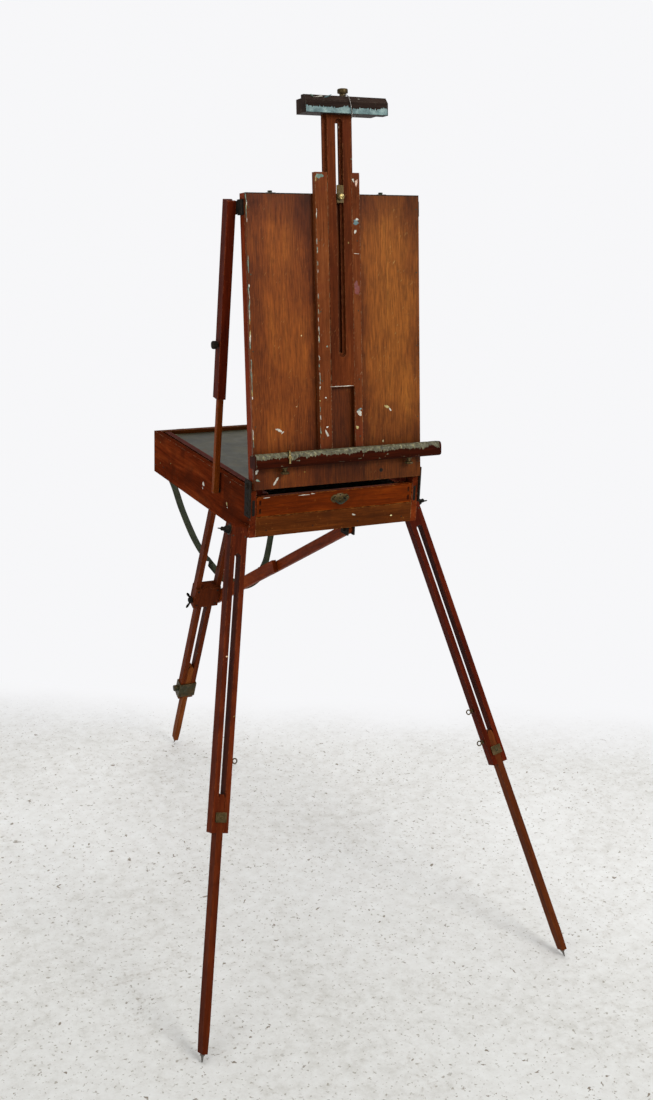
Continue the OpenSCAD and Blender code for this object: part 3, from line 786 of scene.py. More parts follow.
def ledge_wood():
    """Ledge bar with a rounded nose and a slightly uneven surface."""
    verts = []
    stations = spaced(LEDGE_LEFT, LEDGE_RIGHT - LEDGE_LEFT, 160)
    mid_y, mid_z = -LEDGE_DEPTH / 2, 13.5
    for x in stations:
        end = min(1.0, min(x - LEDGE_LEFT, LEDGE_RIGHT - x) / 2.5)
        scale = 1 - (1 - end) * 0.06
        for j, (y, z) in enumerate(LEDGE_SECTION):
            wobble = 0.30 * noise.noise(Vector((x * 0.05, j * 0.45, 3.1)))
            wobble += 0.16 * noise.noise(Vector((x * 0.3, j * 0.9, 1.7)))
            out_y, out_z = mid_y + (y - mid_y) * scale, mid_z + (z - mid_z) * scale
            if 3 <= j <= 12:
                out_y += wobble * (-1 if y < -LEDGE_DEPTH + 9 else 0.4)
                out_z += wobble * 0.7 if j >= 8 else 0
            # the right end is notched at the back
            if x > 210.0 and out_y > -10.5:
                out_y = -10.5
            verts.append((x, out_y, LEDGE_BOTTOM + out_z))
    shape = Shape().add(verts, ring_faces(len(stations), len(LEDGE_SECTION)), LID)
    shape.build("ledge_wood", "wood_ledge", "lid", "red_wood", replaces="ledge")


def ledge_crust():
    """Dried paint, thickest on the rounded nose, ragged towards the front."""
    coarse = LEDGE_SECTION[3:]
    section = []
    for a, b in zip(coarse, coarse[1:]):
        for k in range(3):
            t = k / 3
            section.append((a[0] + (b[0] - a[0]) * t, a[1] + (b[1] - a[1]) * t))
    section.append(coarse[-1])
    last = len(section) - 1
    stations = spaced(-188, 398, 420)
    outer = []
    for x in stations:
        edge = (9.0 + 3.0 * noise.noise(Vector((x * 0.05, 0, 7)))
                + 2.6 * noise.noise(Vector((x * 0.33, 0, 2))))
        for j, (y, z) in enumerate(section):
            before, after = section[max(0, j - 1)], section[min(last, j + 1)]
            normal_y, normal_z = before[1] - after[1], after[0] - before[0]
            length = math.hypot(normal_y, normal_z) or 1
            normal_y, normal_z = normal_y / length, normal_z / length
            big = noise.noise(Vector((x * 0.11, j * 0.22, 5.0)))
            small = noise.noise(Vector((x * 0.55, j * 0.8, 9.0)))
            thick = 0.55 + 0.55 * big + 0.35 * small
            thick *= max(0.0, min(1.0, (j - edge) / 4.0))
            back = max(0.0, min(1.0, (last - j) / 5.0 + 0.25))
            thick = thick * back - 0.12 * (1 if j < edge else 0)
            if x > 208 or x < -186:
                thick *= 0.4
            outer.append((x, y + normal_y * thick, LEDGE_BOTTOM + z + normal_z * thick))
    mid_y, mid_z, core = LEDGE_DEPTH / 2, 13, 0.93
    inner = [(x, -mid_y + (y + mid_y) * core, LEDGE_BOTTOM + mid_z + (z - mid_z) * core)
             for x in stations for y, z in section]
    shape = Shape().add(outer + inner, shell_faces(len(stations), len(section)), LID)
    shape.build("ledge_paint_crust", "paint_crust", "lid", "red_wood")


ledge_wood()
ledge_crust()

# ---------------------------------------------------------------- dabs of dried paint


def dab(name, color, place, body, x, z, width, height, angle=0.0, thick=0.5, seed=1, y=0.0,
        leaf=False):
    """A low domed blot on the local xz plane, raised to the front; leaf makes it pointed."""
    rand = random.Random(seed)
    phase = [rand.uniform(0, 6.28) for _ in range(5)]
    count, rings = 40, 6
    verts = [(0, -thick, 0)]
    for ring in range(1, rings + 1):
        t = ring / rings
        for a in angles(count):
            reach = (1 + 0.20 * math.sin(2 * a + phase[0]) + 0.13 * math.sin(3 * a + phase[1])
                     + 0.09 * math.sin(5 * a + phase[2]) + 0.06 * math.sin(9 * a + phase[3]))
            if leaf:
                reach = 0.35 + 0.65 * abs(math.cos(a)) ** 0.8
            px = width / 2 * reach * t * math.cos(a)
            pz = height / 2 * reach * t * math.sin(a)
            rise = -0.15
            if ring < rings:
                uneven = 1 + 0.5 * noise.noise(Vector((px * 0.9, pz * 0.9, seed)))
                rise = thick * (1 - t ** 3) * uneven
            verts.append((px, -rise, pz))
    faces = [(0, 1 + j, 1 + (j + 1) % count) for j in range(count)]
    for ring in range(rings - 1):
        for j in range(count):
            a, b = 1 + ring * count + j, 1 + ring * count + (j + 1) % count
            faces.append((a, a + count, b + count, b))
    faces.append(tuple(1 + (rings - 1) * count + j for j in range(count - 1, -1, -1)))
    shape = Shape().add(verts, faces, place @ shift(x, y, z) @ turn(angle, "Y"))
    shape.build(name, "paint_" + color, body, "red_wood")


# Dabs on the lid front: name, colour, x, z, width, height, angle, y
LID_DABS = [
    ("leaf", "white", -136.8, 14.2, 20, 7, -55, 0),
    ("left_smear", "white", -127.4, 110.6, 15, 5, 20, 0),
    ("left_smear2", "white", -120, 106, 6, 3, -40, 0),
    ("groove", "white", -32, 99.5, 13, 5, 70, GUIDE_FACE_Y),
    ("groove2", "white", -31, 112, 5, 3, 0, GUIDE_FACE_Y),
    ("groove3", "white", -33, 168, 4, 3, 0, GUIDE_FACE_Y),
    ("guide_w1", "white", 39.3, 135.1, 11, 10, 10, GUIDE_FACE_Y),
    ("guide_w2", "blue", 40, 142, 10, 4, -20, GUIDE_FACE_Y),
    ("guide_yg", "ochre", 34.0, 107.4, 8, 5, 30, GUIDE_FACE_Y),
    ("right_yg", "ochre", 106.4, 142.9, 13, 5, 30, 0),
    ("right_yg2", "white", 114, 137, 7, 4, 60, 0),
    ("low_left", "teal", -174.5, 18.5, 9, 4, 35, 0),
    ("low_left2", "white", -176, 35, 6, 9, 10, 0),
    ("pink", "pink", 40, 566, 6, 12, 12, GUIDE_FACE_Y),
    ("pink2", "white", 33.5, 570, 3.5, 9, -20, GUIDE_FACE_Y),
    ("blue", "blue", 37.7, 493.7, 13, 9, 15, GUIDE_FACE_Y),
    ("blue2", "white", 40, 499, 8, 4, -25, GUIDE_FACE_Y),
    ("white_low", "white", 36, 476.8, 4.5, 8, 5, GUIDE_FACE_Y),
    ("line", "white", 37.6, 436.3, 13, 1.0, 2, GUIDE_FACE_Y),
    ("red", "red", 37.6, 372, 13, 26, 4, GUIDE_FACE_Y),
    ("teal_top", "teal", -37.4, 577, 17, 9, 8, GUIDE_FACE_Y),
]
THIN_DABS = ("line", "red", "teal_top")
# Dabs on the left side of the box: y, z, width, height, colour
SIDE_DABS = {
    "a": (242, 46.4, 9, 11, "white"), "b": (115, 37.6, 7, 7, "ochre"),
    "c": (112, 31, 4, 3, "white"), "d": (246, 37, 5, 3, "white"),
}
# Dabs on the drawer front: x, z, width, height
DRAWER_DABS = [(-70, 76, 22, 2), (-52, 77, 9, 1.6), (-150, 77.2, 12, 1.6)]


def dabs():
    for i, (name, color, x, z, width, height, angle, y) in enumerate(LID_DABS):
        dab("dab_" + name, color, LID, "lid", x, z, width, height, angle,
            thick=0.22 if name in THIN_DABS else 0.5, seed=11 + i, y=y, leaf=name == "leaf")
    dab("dab_mast_end", "white", LID, "mast", 4.5, 188.4, 44, 1.8, thick=0.25, seed=97, y=-12.8)
    left_side = BOX @ shift(-BOX_SIDE_X, 0, 0) @ turn(-90, "Z")
    for i, (name, (y, z, width, height, color)) in enumerate(SIDE_DABS.items()):
        dab("dab_side_" + name, color, left_side, "box", -y, z, width, height, 15 * i,
            thick=0.4, seed=60 + i)
    for i, (x, z, width, height) in enumerate(DRAWER_DABS):
        dab("dab_drawer_%d" % i, "white", DRAWER, "drawer", x, z, width, height,
            thick=0.3, seed=80 + i)
    dab("dab_rail", "white", BOX, "box", 40, 26, 7, 4, 20, thick=0.4, seed=90)


def edge_specks():
    """Specks up the left front edges of the lid and of the mast guide."""
    rand = random.Random(5)
    # name, edge x, lowest and highest z, y, count, greatest height
    for name, edge_x, low, high, y, count, tallest in (
            ("edge", -181.2, 30, 540, 0.0, 44, 24),
            ("guide_edge", -45.4, 90, 575, GUIDE_FACE_Y, 40, 11)):
        for k in range(count):
            z = low + (high - low) * rand.random()
            color = rand.choice(["white", "teal", "teal", "white", "ochre"])
            x = edge_x + rand.uniform(-0.4, 1.4)
            width = rand.uniform(0.9, 2.2)
            height = rand.uniform(3, tallest)
            dab("dab_%s_%d" % (name, k), color, LID, "lid", x, z, width, height,
                rand.uniform(-3, 3), thick=0.3, seed=200 + k, y=y)


dabs()
edge_specks()

# ---------------------------------------------------------------- mast head
HEAD_FRONT_Y = -33
HEAD_BOTTOM = 686
# Dabs on the sloping top front of the head: x, z, width, height, angle, colour
HEAD_DABS = [
    (-52, -2, 14, 5, -25, "white"), (-40, 2, 8, 3, 0, "white"), (-58, 3, 8, 3, 25, "teal"),
    (-26, 2.5, 14, 3, -25, "blue"), (38, -1, 9, 3, 0, "white"),
]
# Centre line of the bent wire, from the top over the front: x, y, z
CLIP_PATH = [
    (10, -24, 719), (12, -30, 719.5), (15, -34.6, 715), (18, -35.6, 704), (20.5, -35.2, 692),
    (21.2, -34.6, 683), (20.4, -34.2, 678),
]


def head_film():
    """Film of paint along the bottom of the head's front, with a ragged top."""
    stations = spaced(-71.4, 168.6, 200)
    rows = 16
    outer = []
    for x in stations:
        top = (10.5 + 4.0 * noise.noise(Vector((x * 0.05, 1, 4)))
               + 4.5 * noise.noise(Vector((x * 0.4, 3, 4))))
        for j in range(rows):
            z = 0.4 + top * j / (rows - 1)
            thick = 0.30 + 0.25 * noise.noise(Vector((x * 0.25, z * 0.5, 2)))
            # the border sinks into the wood
            if j in (0, rows - 1) or x in (stations[0], stations[-1]):
                thick = -0.12
            outer.append((x, HEAD_FRONT_Y - thick, HEAD_BOTTOM + z))
    inner = [(x, HEAD_FRONT_Y + 0.2, z) for x, y, z in outer]
    shape = Shape().add(outer + inner, shell_faces(len(stations), rows), LID)
    shape.build("head_paint_film", "paint_blue", "mast", "red_wood")


def head_knob():
    profile = [
        (3.0, 702), (3.0, 718.4), (5.4, 718.6), (6.0, 719.2), (6.0, 724), (7.2, 725),
        (9.2, 725.4), (10.0, 726.4), (10.0, 731.6), (9.2, 733.2), (6.0, 734.0), (1.0, 734.2)]
    shape = Shape().lathe(profile, 60, LID @ shift(17, -6.6, 0), knurl=(7, 8, 20, 0.7))
    shape.build("head_knob", "bronze", "head_screw", "bronze", replaces="head_screw")


head_film()
head_slant = LID @ shift(0, -28.5, 713) @ turn(42, "X")
for i, (x, z, width, height, angle, color) in enumerate(HEAD_DABS):
    dab("dab_head_%d" % i, color, head_slant, "mast", x, z, width, height, angle,
        thick=0.35, seed=120 + i, y=0.6)
clip = Shape().tube(spline(CLIP_PATH, 6), 0.8, 10, LID)
clip.build("head_wire_clip", "steel", "mast", "bright_steel")
head_knob()

# ---------------------------------------------------------------- leg and stay hardware
# Turned profiles: (radius, height)
WING_HUB = [(4.4, 0.0), (7.6, 0.1), (8.0, 0.8), (7.8, 3.0), (6.8, 6.2), (6.2, 8.0), (5.6, 9.0),
            (4.6, 9.4)]
STAY_KNOB = [(4.4, 205.1), (4.4, 207.8), (7.0, 208.2), (8.0, 209.0), (8.0, 215.0),
             (7.2, 216.5), (4.0, 217.2), (0.8, 217.4)]
REAR_KNOB = [(4.6, 23.2), (4.6, 25.0), (7.2, 26.0), (8.2, 27.2), (8.2, 32.6), (7.0, 34.2),
             (2.0, 34.6)]
# Sections of a wing: distance off the base, distance from the axis, half width, half thickness
WING_SECTIONS = [
    (5.0, 4.5, 2.6, 1.6), (8.0, 7.2, 3.2, 1.7), (11.0, 11.2, 4.2, 1.7), (13.0, 15.0, 4.6, 1.6),
    (14.4, 18.0, 4.2, 1.4), (15.2, 20.0, 2.8, 1.1), (15.6, 20.9, 1.0, 0.5),
]
LEG_CLAMP_Z = -541.0
EYE_SCREW_Z = {-1: (-437,), 1: (-449, -518)}


def wing_nut(name, place, body, replaces, tilt):
    """Hub with two swept, rounded wings; base at local x 0, axis along x."""
    shape = Shape().lathe(WING_HUB, 32, place @ TO_X)
    sides = 12
    verts = []
    for off, reach, width, thick in WING_SECTIONS:
        for angle in angles(sides):
            verts.append((off - 2.5 + width * math.cos(angle) * 0.9, thick * math.sin(angle),
                          reach))
    for half_turn in (0, 180):
        shape.add(verts, ring_faces(len(WING_SECTIONS), sides),
                  place @ turn(half_turn + tilt, "X"))
    shape.build(name, "iron", body, "bronze", subsurf=1, replaces=replaces)


def leg_hardware(side, name):
    leg, body = leg_place(side), "leg_" + name
    wing_nut("wing_nut_" + name, leg @ shift(17.8, 0, 0), "wing_" + name,
             "leg_%s_wing" % name, tilt=98)
    shape = Shape().lathe([(3.9, 26), (3.9, 33.4), (3.0, 34.2), (1.0, 34.4)], 24, leg @ TO_X)
    shape.build("bolt_end_" + name, "iron", "box", "black_iron")

    shape = Shape().slotted(leg @ shift(0, -13.8, LEG_CLAMP_Z) @ TO_FRONT, 3.6, 1.0, 30)
    for x in (-8.4, 8.4):
        for y, facing in ((-13.8, TO_FRONT), (13.8, TO_BACK)):
            shape.screw(leg @ shift(x, y, LEG_CLAMP_Z + 5.5) @ facing, 1.5, 0.6)
    # six-sided nut at the back of the clamp
    shape.lathe([(5.2, 0), (5.2, 2.6), (4.4, 3.2)], 6,
                leg @ shift(0, 13.8, LEG_CLAMP_Z) @ TO_BACK)
    shape.build("leg_clamp_screws_" + name, "bronze", body, "bronze")

    # eyes on the inner face
    shape = Shape()
    circle = [2 * math.pi * k / 24 for k in range(25)]
    for z in EYE_SCREW_Z[side]:
        place = leg @ shift(-17.0, 0, z)
        shape.lathe([(4.2, -0.5), (4.2, 1.4), (2.0, 1.8), (1.8, 5.0)], 20, place @ TO_MINUS_X)
        ring = [(-9.6 + 4.6 * math.cos(a), 0, 4.6 * math.sin(a)) for a in circle]
        shape.tube(ring, 1.3, 8, place)
    shape.build("leg_eye_screw_" + name, "bronze", body, "bronze")

    # pins near the pivot, and the washer under the wing nut
    shape = Shape()
    for y, facing in ((-11.5, TO_FRONT), (11.5, TO_BACK)):
        for x in (-12.5, 12.5):
            shape.screw(leg @ shift(x, y, -12) @ facing, 1.7, 0.5)
    shape.lathe([(10, 16.9), (10.2, 17.1), (9.6, 17.5), (4.4, 17.6)], 30, leg @ TO_X)
    shape.build("leg_pins_" + name, "bronze_dark", body, "bronze")


def left_stay_hardware():
    stay = mirrored(STAY, -1)
    shape = Shape().lathe(STAY_KNOB, 48, stay @ shift(0, 0, 298.3) @ TO_X,
                          knurl=(3, 4, 16, 0.8))
    shape.build("stay_knob_turned_left", "iron", "channel_left", "black_iron",
                replaces="stay_knob_left")
    shape = Shape().screw(stay @ shift(200.5, 0, 0) @ TO_X, 3.0, 0.7)
    shape.build("stay_pin_left", "wood_rod", "rod_left", "light_wood")


def side_screws(side, name):
    """Screws of the stay bracket on the lid and of the iron on the box side."""
    lid, box = mirrored(LID, side), mirrored(BOX, side)
    shape = Shape()
    for z in (513, 529):
        shape.slotted(lid @ shift(187.5, 17, z) @ TO_X, 2.8, 0.3, 35)
    shape.build("stay_bracket_screws_" + name, "iron", "lid", "black_iron")
    shape = Shape()
    for z in (48, 66, 84):
        shape.slotted(box @ shift(188.4, 7, z) @ TO_X, 3.0, 0.9, 15 + z)
    shape.slotted(box @ shift(191.0, 7.1, 102.1) @ TO_X, 4.2, 1.2, 70)
    shape.build("side_iron_screws_" + name, "iron", "box", "black_iron")


def rear_hardware():
    wing_nut("wing_nut_rear", REAR @ shift(-33.6, 0, -REAR_JOINT) @ turn(180, "Z"),
             "rear_wing", "rear_wing", tilt=18)
    shape = Shape()
    for y, facing in ((-14.0, TO_FRONT), (14.0, TO_BACK)):
        for x in (-25, 25):
            for z in (-364, -408):
                shape.slotted(REAR @ shift(x, y, z) @ facing, 2.6, 0.8, 20 + z)
    shape.build("yoke_screws", "iron", "rear_yoke", "black_iron")

    shape = Shape().lathe(REAR_KNOB, 48, REAR @ shift(0, 0, -720) @ TO_MINUS_X,
                          knurl=(3, 4, 16, 0.7))
    for z in (-706, -740):
        for x in (-17, 17):
            shape.screw(REAR @ shift(x, -12.4, z) @ TO_FRONT, 2.0, 0.8)
    shape.build("rear_clamp_knob", "bronze_dark", "rear_middle", "bronze")

    shape = Shape().slotted(BRACE @ shift(22.3, BRACE_UPPER, 0) @ TO_X, 5.4, 1.6, 40)
    shape.slotted(BRACE @ shift(9.7, BRACE_LENGTH, 0) @ TO_X, 5.4, 0.5, 10)
    shape.build("brace_rivets", "bronze_dark", "brace_lower", "bronze")


for side, name in SIDES:
    leg_hardware(side, name)
    if name == "left":
        left_stay_hardware()
    side_screws(side, name)
rear_hardware()

# ---------------------------------------------------------------- lid hardware
THUMBSCREW = [(3.2, -14.2), (6.6, -13.6), (8.4, -12.4), (8.8, -11.0), (8.2, -9.6), (5.2, -8.6),
              (4.0, -7.2), (3.8, -3.0), (6.4, -2.2), (6.4, 0.0)]


def lid_hardware():
    shape = Shape()
    for x in (-124, 147):
        shape.lathe(THUMBSCREW, 40, LID @ shift(x, -14, LEDGE_BOTTOM), knurl=(2, 4, 10, 1.2))
    shape.build("ledge_thumbscrews", "bronze", "lid", "bronze", replaces="ledge_screws")

    shape = Shape().slotted(LID @ shift(4.5, -20.0, 540) @ TO_FRONT, 5.2, 1.6, 60)
    shape.lathe([(6.0, 0), (6.4, 0.8), (6.2, 2.0), (5.4, 2.6)], 30,
                LID @ shift(4.5, -17.2, 540) @ TO_FRONT)
    shape.build("mast_clamp_screw", "brass_bright", "lid", "bronze")

    shape = Shape().lathe([(3.8, -0.4), (3.9, 0.3), (2.6, 0.5), (1.2, 0.2)], 24,
                          LID @ shift(91.8, 0, 18.5) @ TO_FRONT)
    shape.build("lid_plug", "iron", "lid", "black_iron")

    # upright rod with a button on the front of the ledge
    rod = [(-120, -LEDGE_DEPTH - 1.9, LEDGE_BOTTOM + 8 + 2 * k) for k in range(12)]
    button = LID @ shift(-120, -LEDGE_DEPTH - 1.4, LEDGE_BOTTOM + 20) @ TO_FRONT
    shape = Shape().tube(rod, 2.0, 10, LID)
    shape.lathe([(3.4, 0), (3.6, 2.0), (2.4, 3.4)], 20, button)
    shape.build("ledge_clip_rod", "brass_bright", "lid", "bright_steel")


def lid_top_grime():
    """Dark line along the lid's top edge, on each side of the guide."""
    shape = Shape()
    for x0, x1 in ((-181.4, -46.8), (46.8, 181.4)):
        shape.box((x0, -0.25, 544.3), (x1, 0.2, 546.15), LID)
    shape.build("lid_top_edge_grime", "wood_head", "lid", "red_wood", bevel=0.1)


# ---------------------------------------------------------------- drawer pull
PULL_X, PULL_Z = 8, 63
# Upper right quarter of the backplate outline: x, z
PLATE_QUARTER = [
    (0, 10.5), (2.5, 9.6), (4.6, 10.2), (6.4, 9.6), (7.4, 8.0), (9.6, 7.6), (12.6, 8.2),
    (15.2, 7.4), (16.4, 5.6), (18.6, 4.6), (20.0, 2.2), (20.6, 0),
]


def pull_plate():
    pull = BOX @ shift(PULL_X, 0.4, PULL_Z)
    half = PLATE_QUARTER + [(x, -y) for x, y in reversed(PLATE_QUARTER[:-1])]
    outline = half + [(-x, y) for x, y in reversed(half[1:-1])]
    shape = Shape().prism(outline, 0.0, 1.4, pull @ TO_FRONT, inset=0.9)
    post = [(3.4, 0.8), (3.4, 1.8), (2.2, 2.6), (2.0, 6.6), (2.8, 7.2), (2.0, 7.9)]
    for x in (-13, 13):
        shape.lathe(post, 20, pull @ shift(x, 0, 2) @ TO_FRONT)
    # oval of beads round a central boss
    for a in angles(12):
        bead = pull @ shift(4.6 * math.cos(a), 0, 0.4 + 3.4 * math.sin(a)) @ TO_FRONT
        shape.lathe([(0.9, 1.0), (0.8, 1.9), (0.3, 2.2)], 10, bead)
    shape.lathe([(2.4, 1.0), (2.2, 2.0), (1.2, 2.8)], 20, pull @ shift(0, 0, 0.4) @ TO_FRONT)
    shape.build("pull_backplate", "bronze", "drawer", "bronze", replaces="pull_plate")

    # dark discs of painted shade that read as holes in the plate
    shape = Shape()
    for x, radius in ((-16.2, 1.9), (-10.4, 3.0), (10.4, 3.0), (16.2, 1.9)):
        shape.lathe([(radius, 1.0), (radius, 1.55), (radius * 0.7, 1.62)], 20,
                    pull @ shift(x, 0, -0.2) @ TO_FRONT)
    for z in (-6.6, 6.9):
        shape.lathe([(1.7, 1.0), (1.7, 1.5), (1.0, 1.56)], 16, pull @ shift(0, 0, z) @ TO_FRONT)
    shape.build("pull_plate_piercings", "iron", "drawer", "black_iron")


def pull_bail():
    """Hanging handle, thicker at the bottom, with an eye at each end."""
    pull = BOX @ shift(PULL_X, -5, PULL_Z)
    half_width = 13.4
    path, radii = [], []
    for t in spaced(0, 1, 32):
        a = math.pi * (1 + t)
        drop = 10.5 * math.sin(a) * (1 - 0.15 * math.cos(2 * a))
        path.append((half_width * math.cos(a), 0, 2.0 + drop))
        radii.append(1.0 + 0.45 * math.sin(math.pi * t) ** 3)
    shape = Shape().tube(path, radii, 12, pull)
    for x in (-half_width, half_width):
        shape.lathe([(1.2, -3.2), (2.3, -2.4), (2.3, 2.4), (1.2, 3.2)], 16,
                    pull @ shift(x, 0, 2.6))
    shape.build("pull_swing_bail", "bronze_dark", "bail", "bronze", replaces="pull_bail")


lid_hardware()
pull_plate()
lid_top_grime()
pull_bail()

# ---------------------------------------------------------------- box details
# Nails in both box sides: y, z; the last pair is in the left side only
SIDE_NAILS = [(8, 20), (8, 34), (538, 16), (538, 46), (538, 78)]
LEFT_NAILS = SIDE_NAILS + [(484, 23)]
# Section of the bead: distance in front of the drawer front, height
TOP_BEAD = [(-0.2, 77.6), (0.5, 78.2), (0.5, 78.9), (-0.2, 79.6), (-4.0, 79.9), (-8.0, 79.6),
            (-8.0, 78.9), (-4.0, 78.6)]


def drawer_joints():
    """Dark blocks of painted shade that stand for slots beside the drawer front, and dovetails at
    its ends.
    """
    # painted shade: black blocks in place of the slots
    shape = Shape()
    for side in (-1, 1):
        x = side * 177.6
        shape.box((x - 2.8, -0.25, 43), (x + 2.8, 0.6, 74), BOX)
    shape.build("side_mortises", "iron", "box", "black_iron", bevel=0.2)
    shape = Shape()
    for side in (-1, 1):
        x = side * 163.5
        for z in (46, 63):
            shape.box((x - 2.2, 0.1, z), (x + 2.2, 0.9, z + 10), BOX)
    shape.build("drawer_dovetails", "wood_ledge", "drawer", "inner_wood", bevel=0.2)


def nails():
    shape = Shape()
    for side in (-1, 1):
        for y, z in LEFT_NAILS if side < 0 else SIDE_NAILS:
            shape.screw(mirrored(BOX, side) @ shift(BOX_SIDE_X, y, z) @ TO_X, 2.0, 0.35)
    for x in (-150, -50, 50, 150):
        shape.screw(BOX @ shift(x, 0, 12) @ TO_FRONT, 1.5, 0.3)
        shape.screw(BOX @ shift(x, 546, 14) @ TO_BACK, 1.8, 0.3)
    shape.build("box_nails", "iron", "box", "black_iron")

    shape = Shape()
    for x in (-176, 176):
        for z in (30, 120, 260, 400, 520):
            shape.screw(LID @ shift(x, 0, z) @ TO_FRONT, 1.4, 0.25)
    for z in (90, 200, 330, 460, 570):
        for x in (-40, 40):
            shape.screw(LID @ shift(x, GUIDE_FACE_Y, z) @ TO_FRONT, 1.4, 0.25)
    shape.build("lid_nails", "bronze_dark", "lid", "bronze")


def drawer_bead():
    """Narrow raised bead along the top of the drawer front."""
    # section (forward, height) to (-y, z), extruded along x
    along_x = Matrix(((0, 0, 1, 0), (-1, 0, 0, 0), (0, 1, 0, 0), (0, 0, 0, 1)))
    shape = Shape().prism(TOP_BEAD, -170.0, 170.0, DRAWER @ along_x)
    shape.build("drawer_top_bead", "wood_drawer", "drawer", "red_wood")


def back_hardware():
    """Latch hooks on the box, studs on the lid, and screws of the strap anchors."""
    shape = Shape()
    for x in (-123, 109):
        shape.slotted(BOX @ shift(x, 552.0, 62) @ TO_BACK, 3.4, 1.0, 25)
        for dx, z in ((-5, 54), (5, 71)):
            shape.screw(BOX @ shift(x + dx, 548.1, z) @ TO_BACK, 1.6, 0.6)
        hook = [(549, 66), (552.4, 70), (553.0, 78), (552.6, 86), (549.8, 91)]
        shape.tube([(x, y, z) for y, z in hook], 1.6, 10, BOX)
    shape.build("back_latch_hooks", "bronze_dark", "box", "bronze")

    shape = Shape()
    stud = [(3.2, 1.6), (3.4, 3.6), (4.6, 4.4), (4.4, 5.4), (2.6, 5.8)]
    for x in (-124, 109):
        shape.lathe(stud, 24, LID @ shift(x, 20, 546))
    shape.build("lid_catch_studs", "bronze_dark", "lid", "bronze")

    shape = Shape()
    for x in (-148, 149):
        for dx in (-15, 15):
            shape.slotted(BOX @ shift(x + dx, 548.6, 27) @ TO_BACK, 2.6, 0.9, 40)
    shape.build("anchor_screws", "iron", "box", "black_iron")


drawer_joints()
nails()
drawer_bead()
back_hardware()

# ---------------------------------------------------------------- carrying strap
# Centre line from the left anchor to the right one: x, y, z in box coordinates
STRAP_PATH = [
    (-149, 553.5, 24), (-147, 556, 12), (-143, 566, -6), (-132, 582, -28), (-112, 602, -66),
    (-85, 627, -126), (-39, 664, -213), (4, 690, -277), (55, 715, -336), (96, 727, -364),
    (130, 729, -370), (156, 722, -352), (168, 706, -316), (169, 690, -278), (166, 669, -230),
    (159, 622, -122), (152, 582, -32), (150, 566, -6), (149, 556, 12), (149, 553.5, 24),
]
STRAP_HALF_WIDTH = 14.0
STRAP_HALF_THICK = 1.35
STRAP_STEP = 0.95  # spacing of the sections along the strap
STRAP_COLUMNS = 20
STRAP_TURN = 70.0  # length at each end that turns flat to the box
STRAP_SLOPE = math.radians(22.4)
STRAP_FACING = Vector((0.437, 0.847, -0.303))


def strap_line():
    """Evenly spaced points along the strap, and its length."""
    base = spline(STRAP_PATH, 24)
    reached = [0.0]
    for a, b in zip(base, base[1:]):
        reached.append(reached[-1] + (b - a).length)
    length = reached[-1]
    steps = int(length / STRAP_STEP)
    points = []
    k = 0
    for i in range(steps + 1):
        along = length * i / steps
        while k < len(reached) - 2 and reached[k + 1] < along:
            k += 1
        t = (along - reached[k]) / max(1e-9, reached[k + 1] - reached[k])
        points.append(base[k].lerp(base[k + 1], t))
    return points, length


def strap_axes(tangent, along, length):
    """Width and thickness directions of the strap section at a distance along it."""
    end = max(0.0, min(1.0, 1 - min(along, length - along) / STRAP_TURN))
    end = end * end * (3 - 2 * end)
    slope = Vector((0, math.cos(STRAP_SLOPE), math.sin(STRAP_SLOPE)))
    width = slope * (1 - end) + Vector((-1 if along < length / 2 else 1, 0, 0)) * end
    width = (width - tangent * width.dot(tangent)).normalized()
    faced = tangent.cross(STRAP_FACING).normalized()
    if faced.dot(width) < 0:
        faced = -faced
    share = 0.38 if along < 0.6 * length else 0.0
    width = width.lerp(faced, share * (1 - end)).normalized()
    twist = 0.06 * math.sin(along * 0.011 + 0.6) * (1 - end)
    normal = tangent.cross(width).normalized()
    width = (width * math.cos(twist) + normal * math.sin(twist)).normalized()
    return width, tangent.cross(width).normalized()


def strap():
    """Cupped webbing with thin, frayed edges and a modelled weave."""
    points, length = strap_line()
    last = len(points) - 1
    # section: position across from -1 to 1 and back, with the face it lies on
    section = [(j / STRAP_COLUMNS * 2 - 1, 1) for j in range(STRAP_COLUMNS + 1)]
    section += [(1 - j / STRAP_COLUMNS * 2, -1) for j in range(STRAP_COLUMNS + 1)]
    verts, weave_at = [], []
    for i, point in enumerate(points):
        along = length * i / last
        tangent = (points[min(last, i + 1)] - points[max(0, i - 1)]).normalized()
        width, normal = strap_axes(tangent, along, length)
        for part, face in section:
            thinning = 1 - max(0.0, abs(part) - 0.86) / 0.14 * 0.75
            cup = -1.3 * (part * part - 0.4)
            across = part * STRAP_HALF_WIDTH
            weave = (0.16 * math.sin(2 * math.pi * across / 2.6)
                     * math.sin(2 * math.pi * along / 3.8))
            fray = 0
            if abs(part) > 0.93:
                fray = 0.25 * noise.noise(Vector((along * 0.7, part * 3, 4.0)))
            off = face * (STRAP_HALF_THICK * thinning + weave) + cup
            verts.append(point + width * (across * (1 + 0.02 * fray)) + normal * off)
            weave_at.append((across, along, face))
    shape = Shape().add(verts, ring_faces(len(points), len(section)), BOX)
    obj = shape.build("strap_webbing", "webbing", "box", "webbing", replaces="carry_strap")
    attribute = obj.data.attributes.new("weave", "FLOAT_VECTOR", "POINT")
    for i, value in enumerate(weave_at):
        attribute.data[i].vector = value


strap()

# ---------------------------------------------------------------- floor, light, camera
BACKDROP = (0.93, 0.93, 0.945, 1)
CAMERA_YAW = math.radians(27.24)
CAMERA_PITCH = math.radians(17.67)
CAMERA_ROLL = math.radians(2.34)
FLOOR_HALF = 30.0


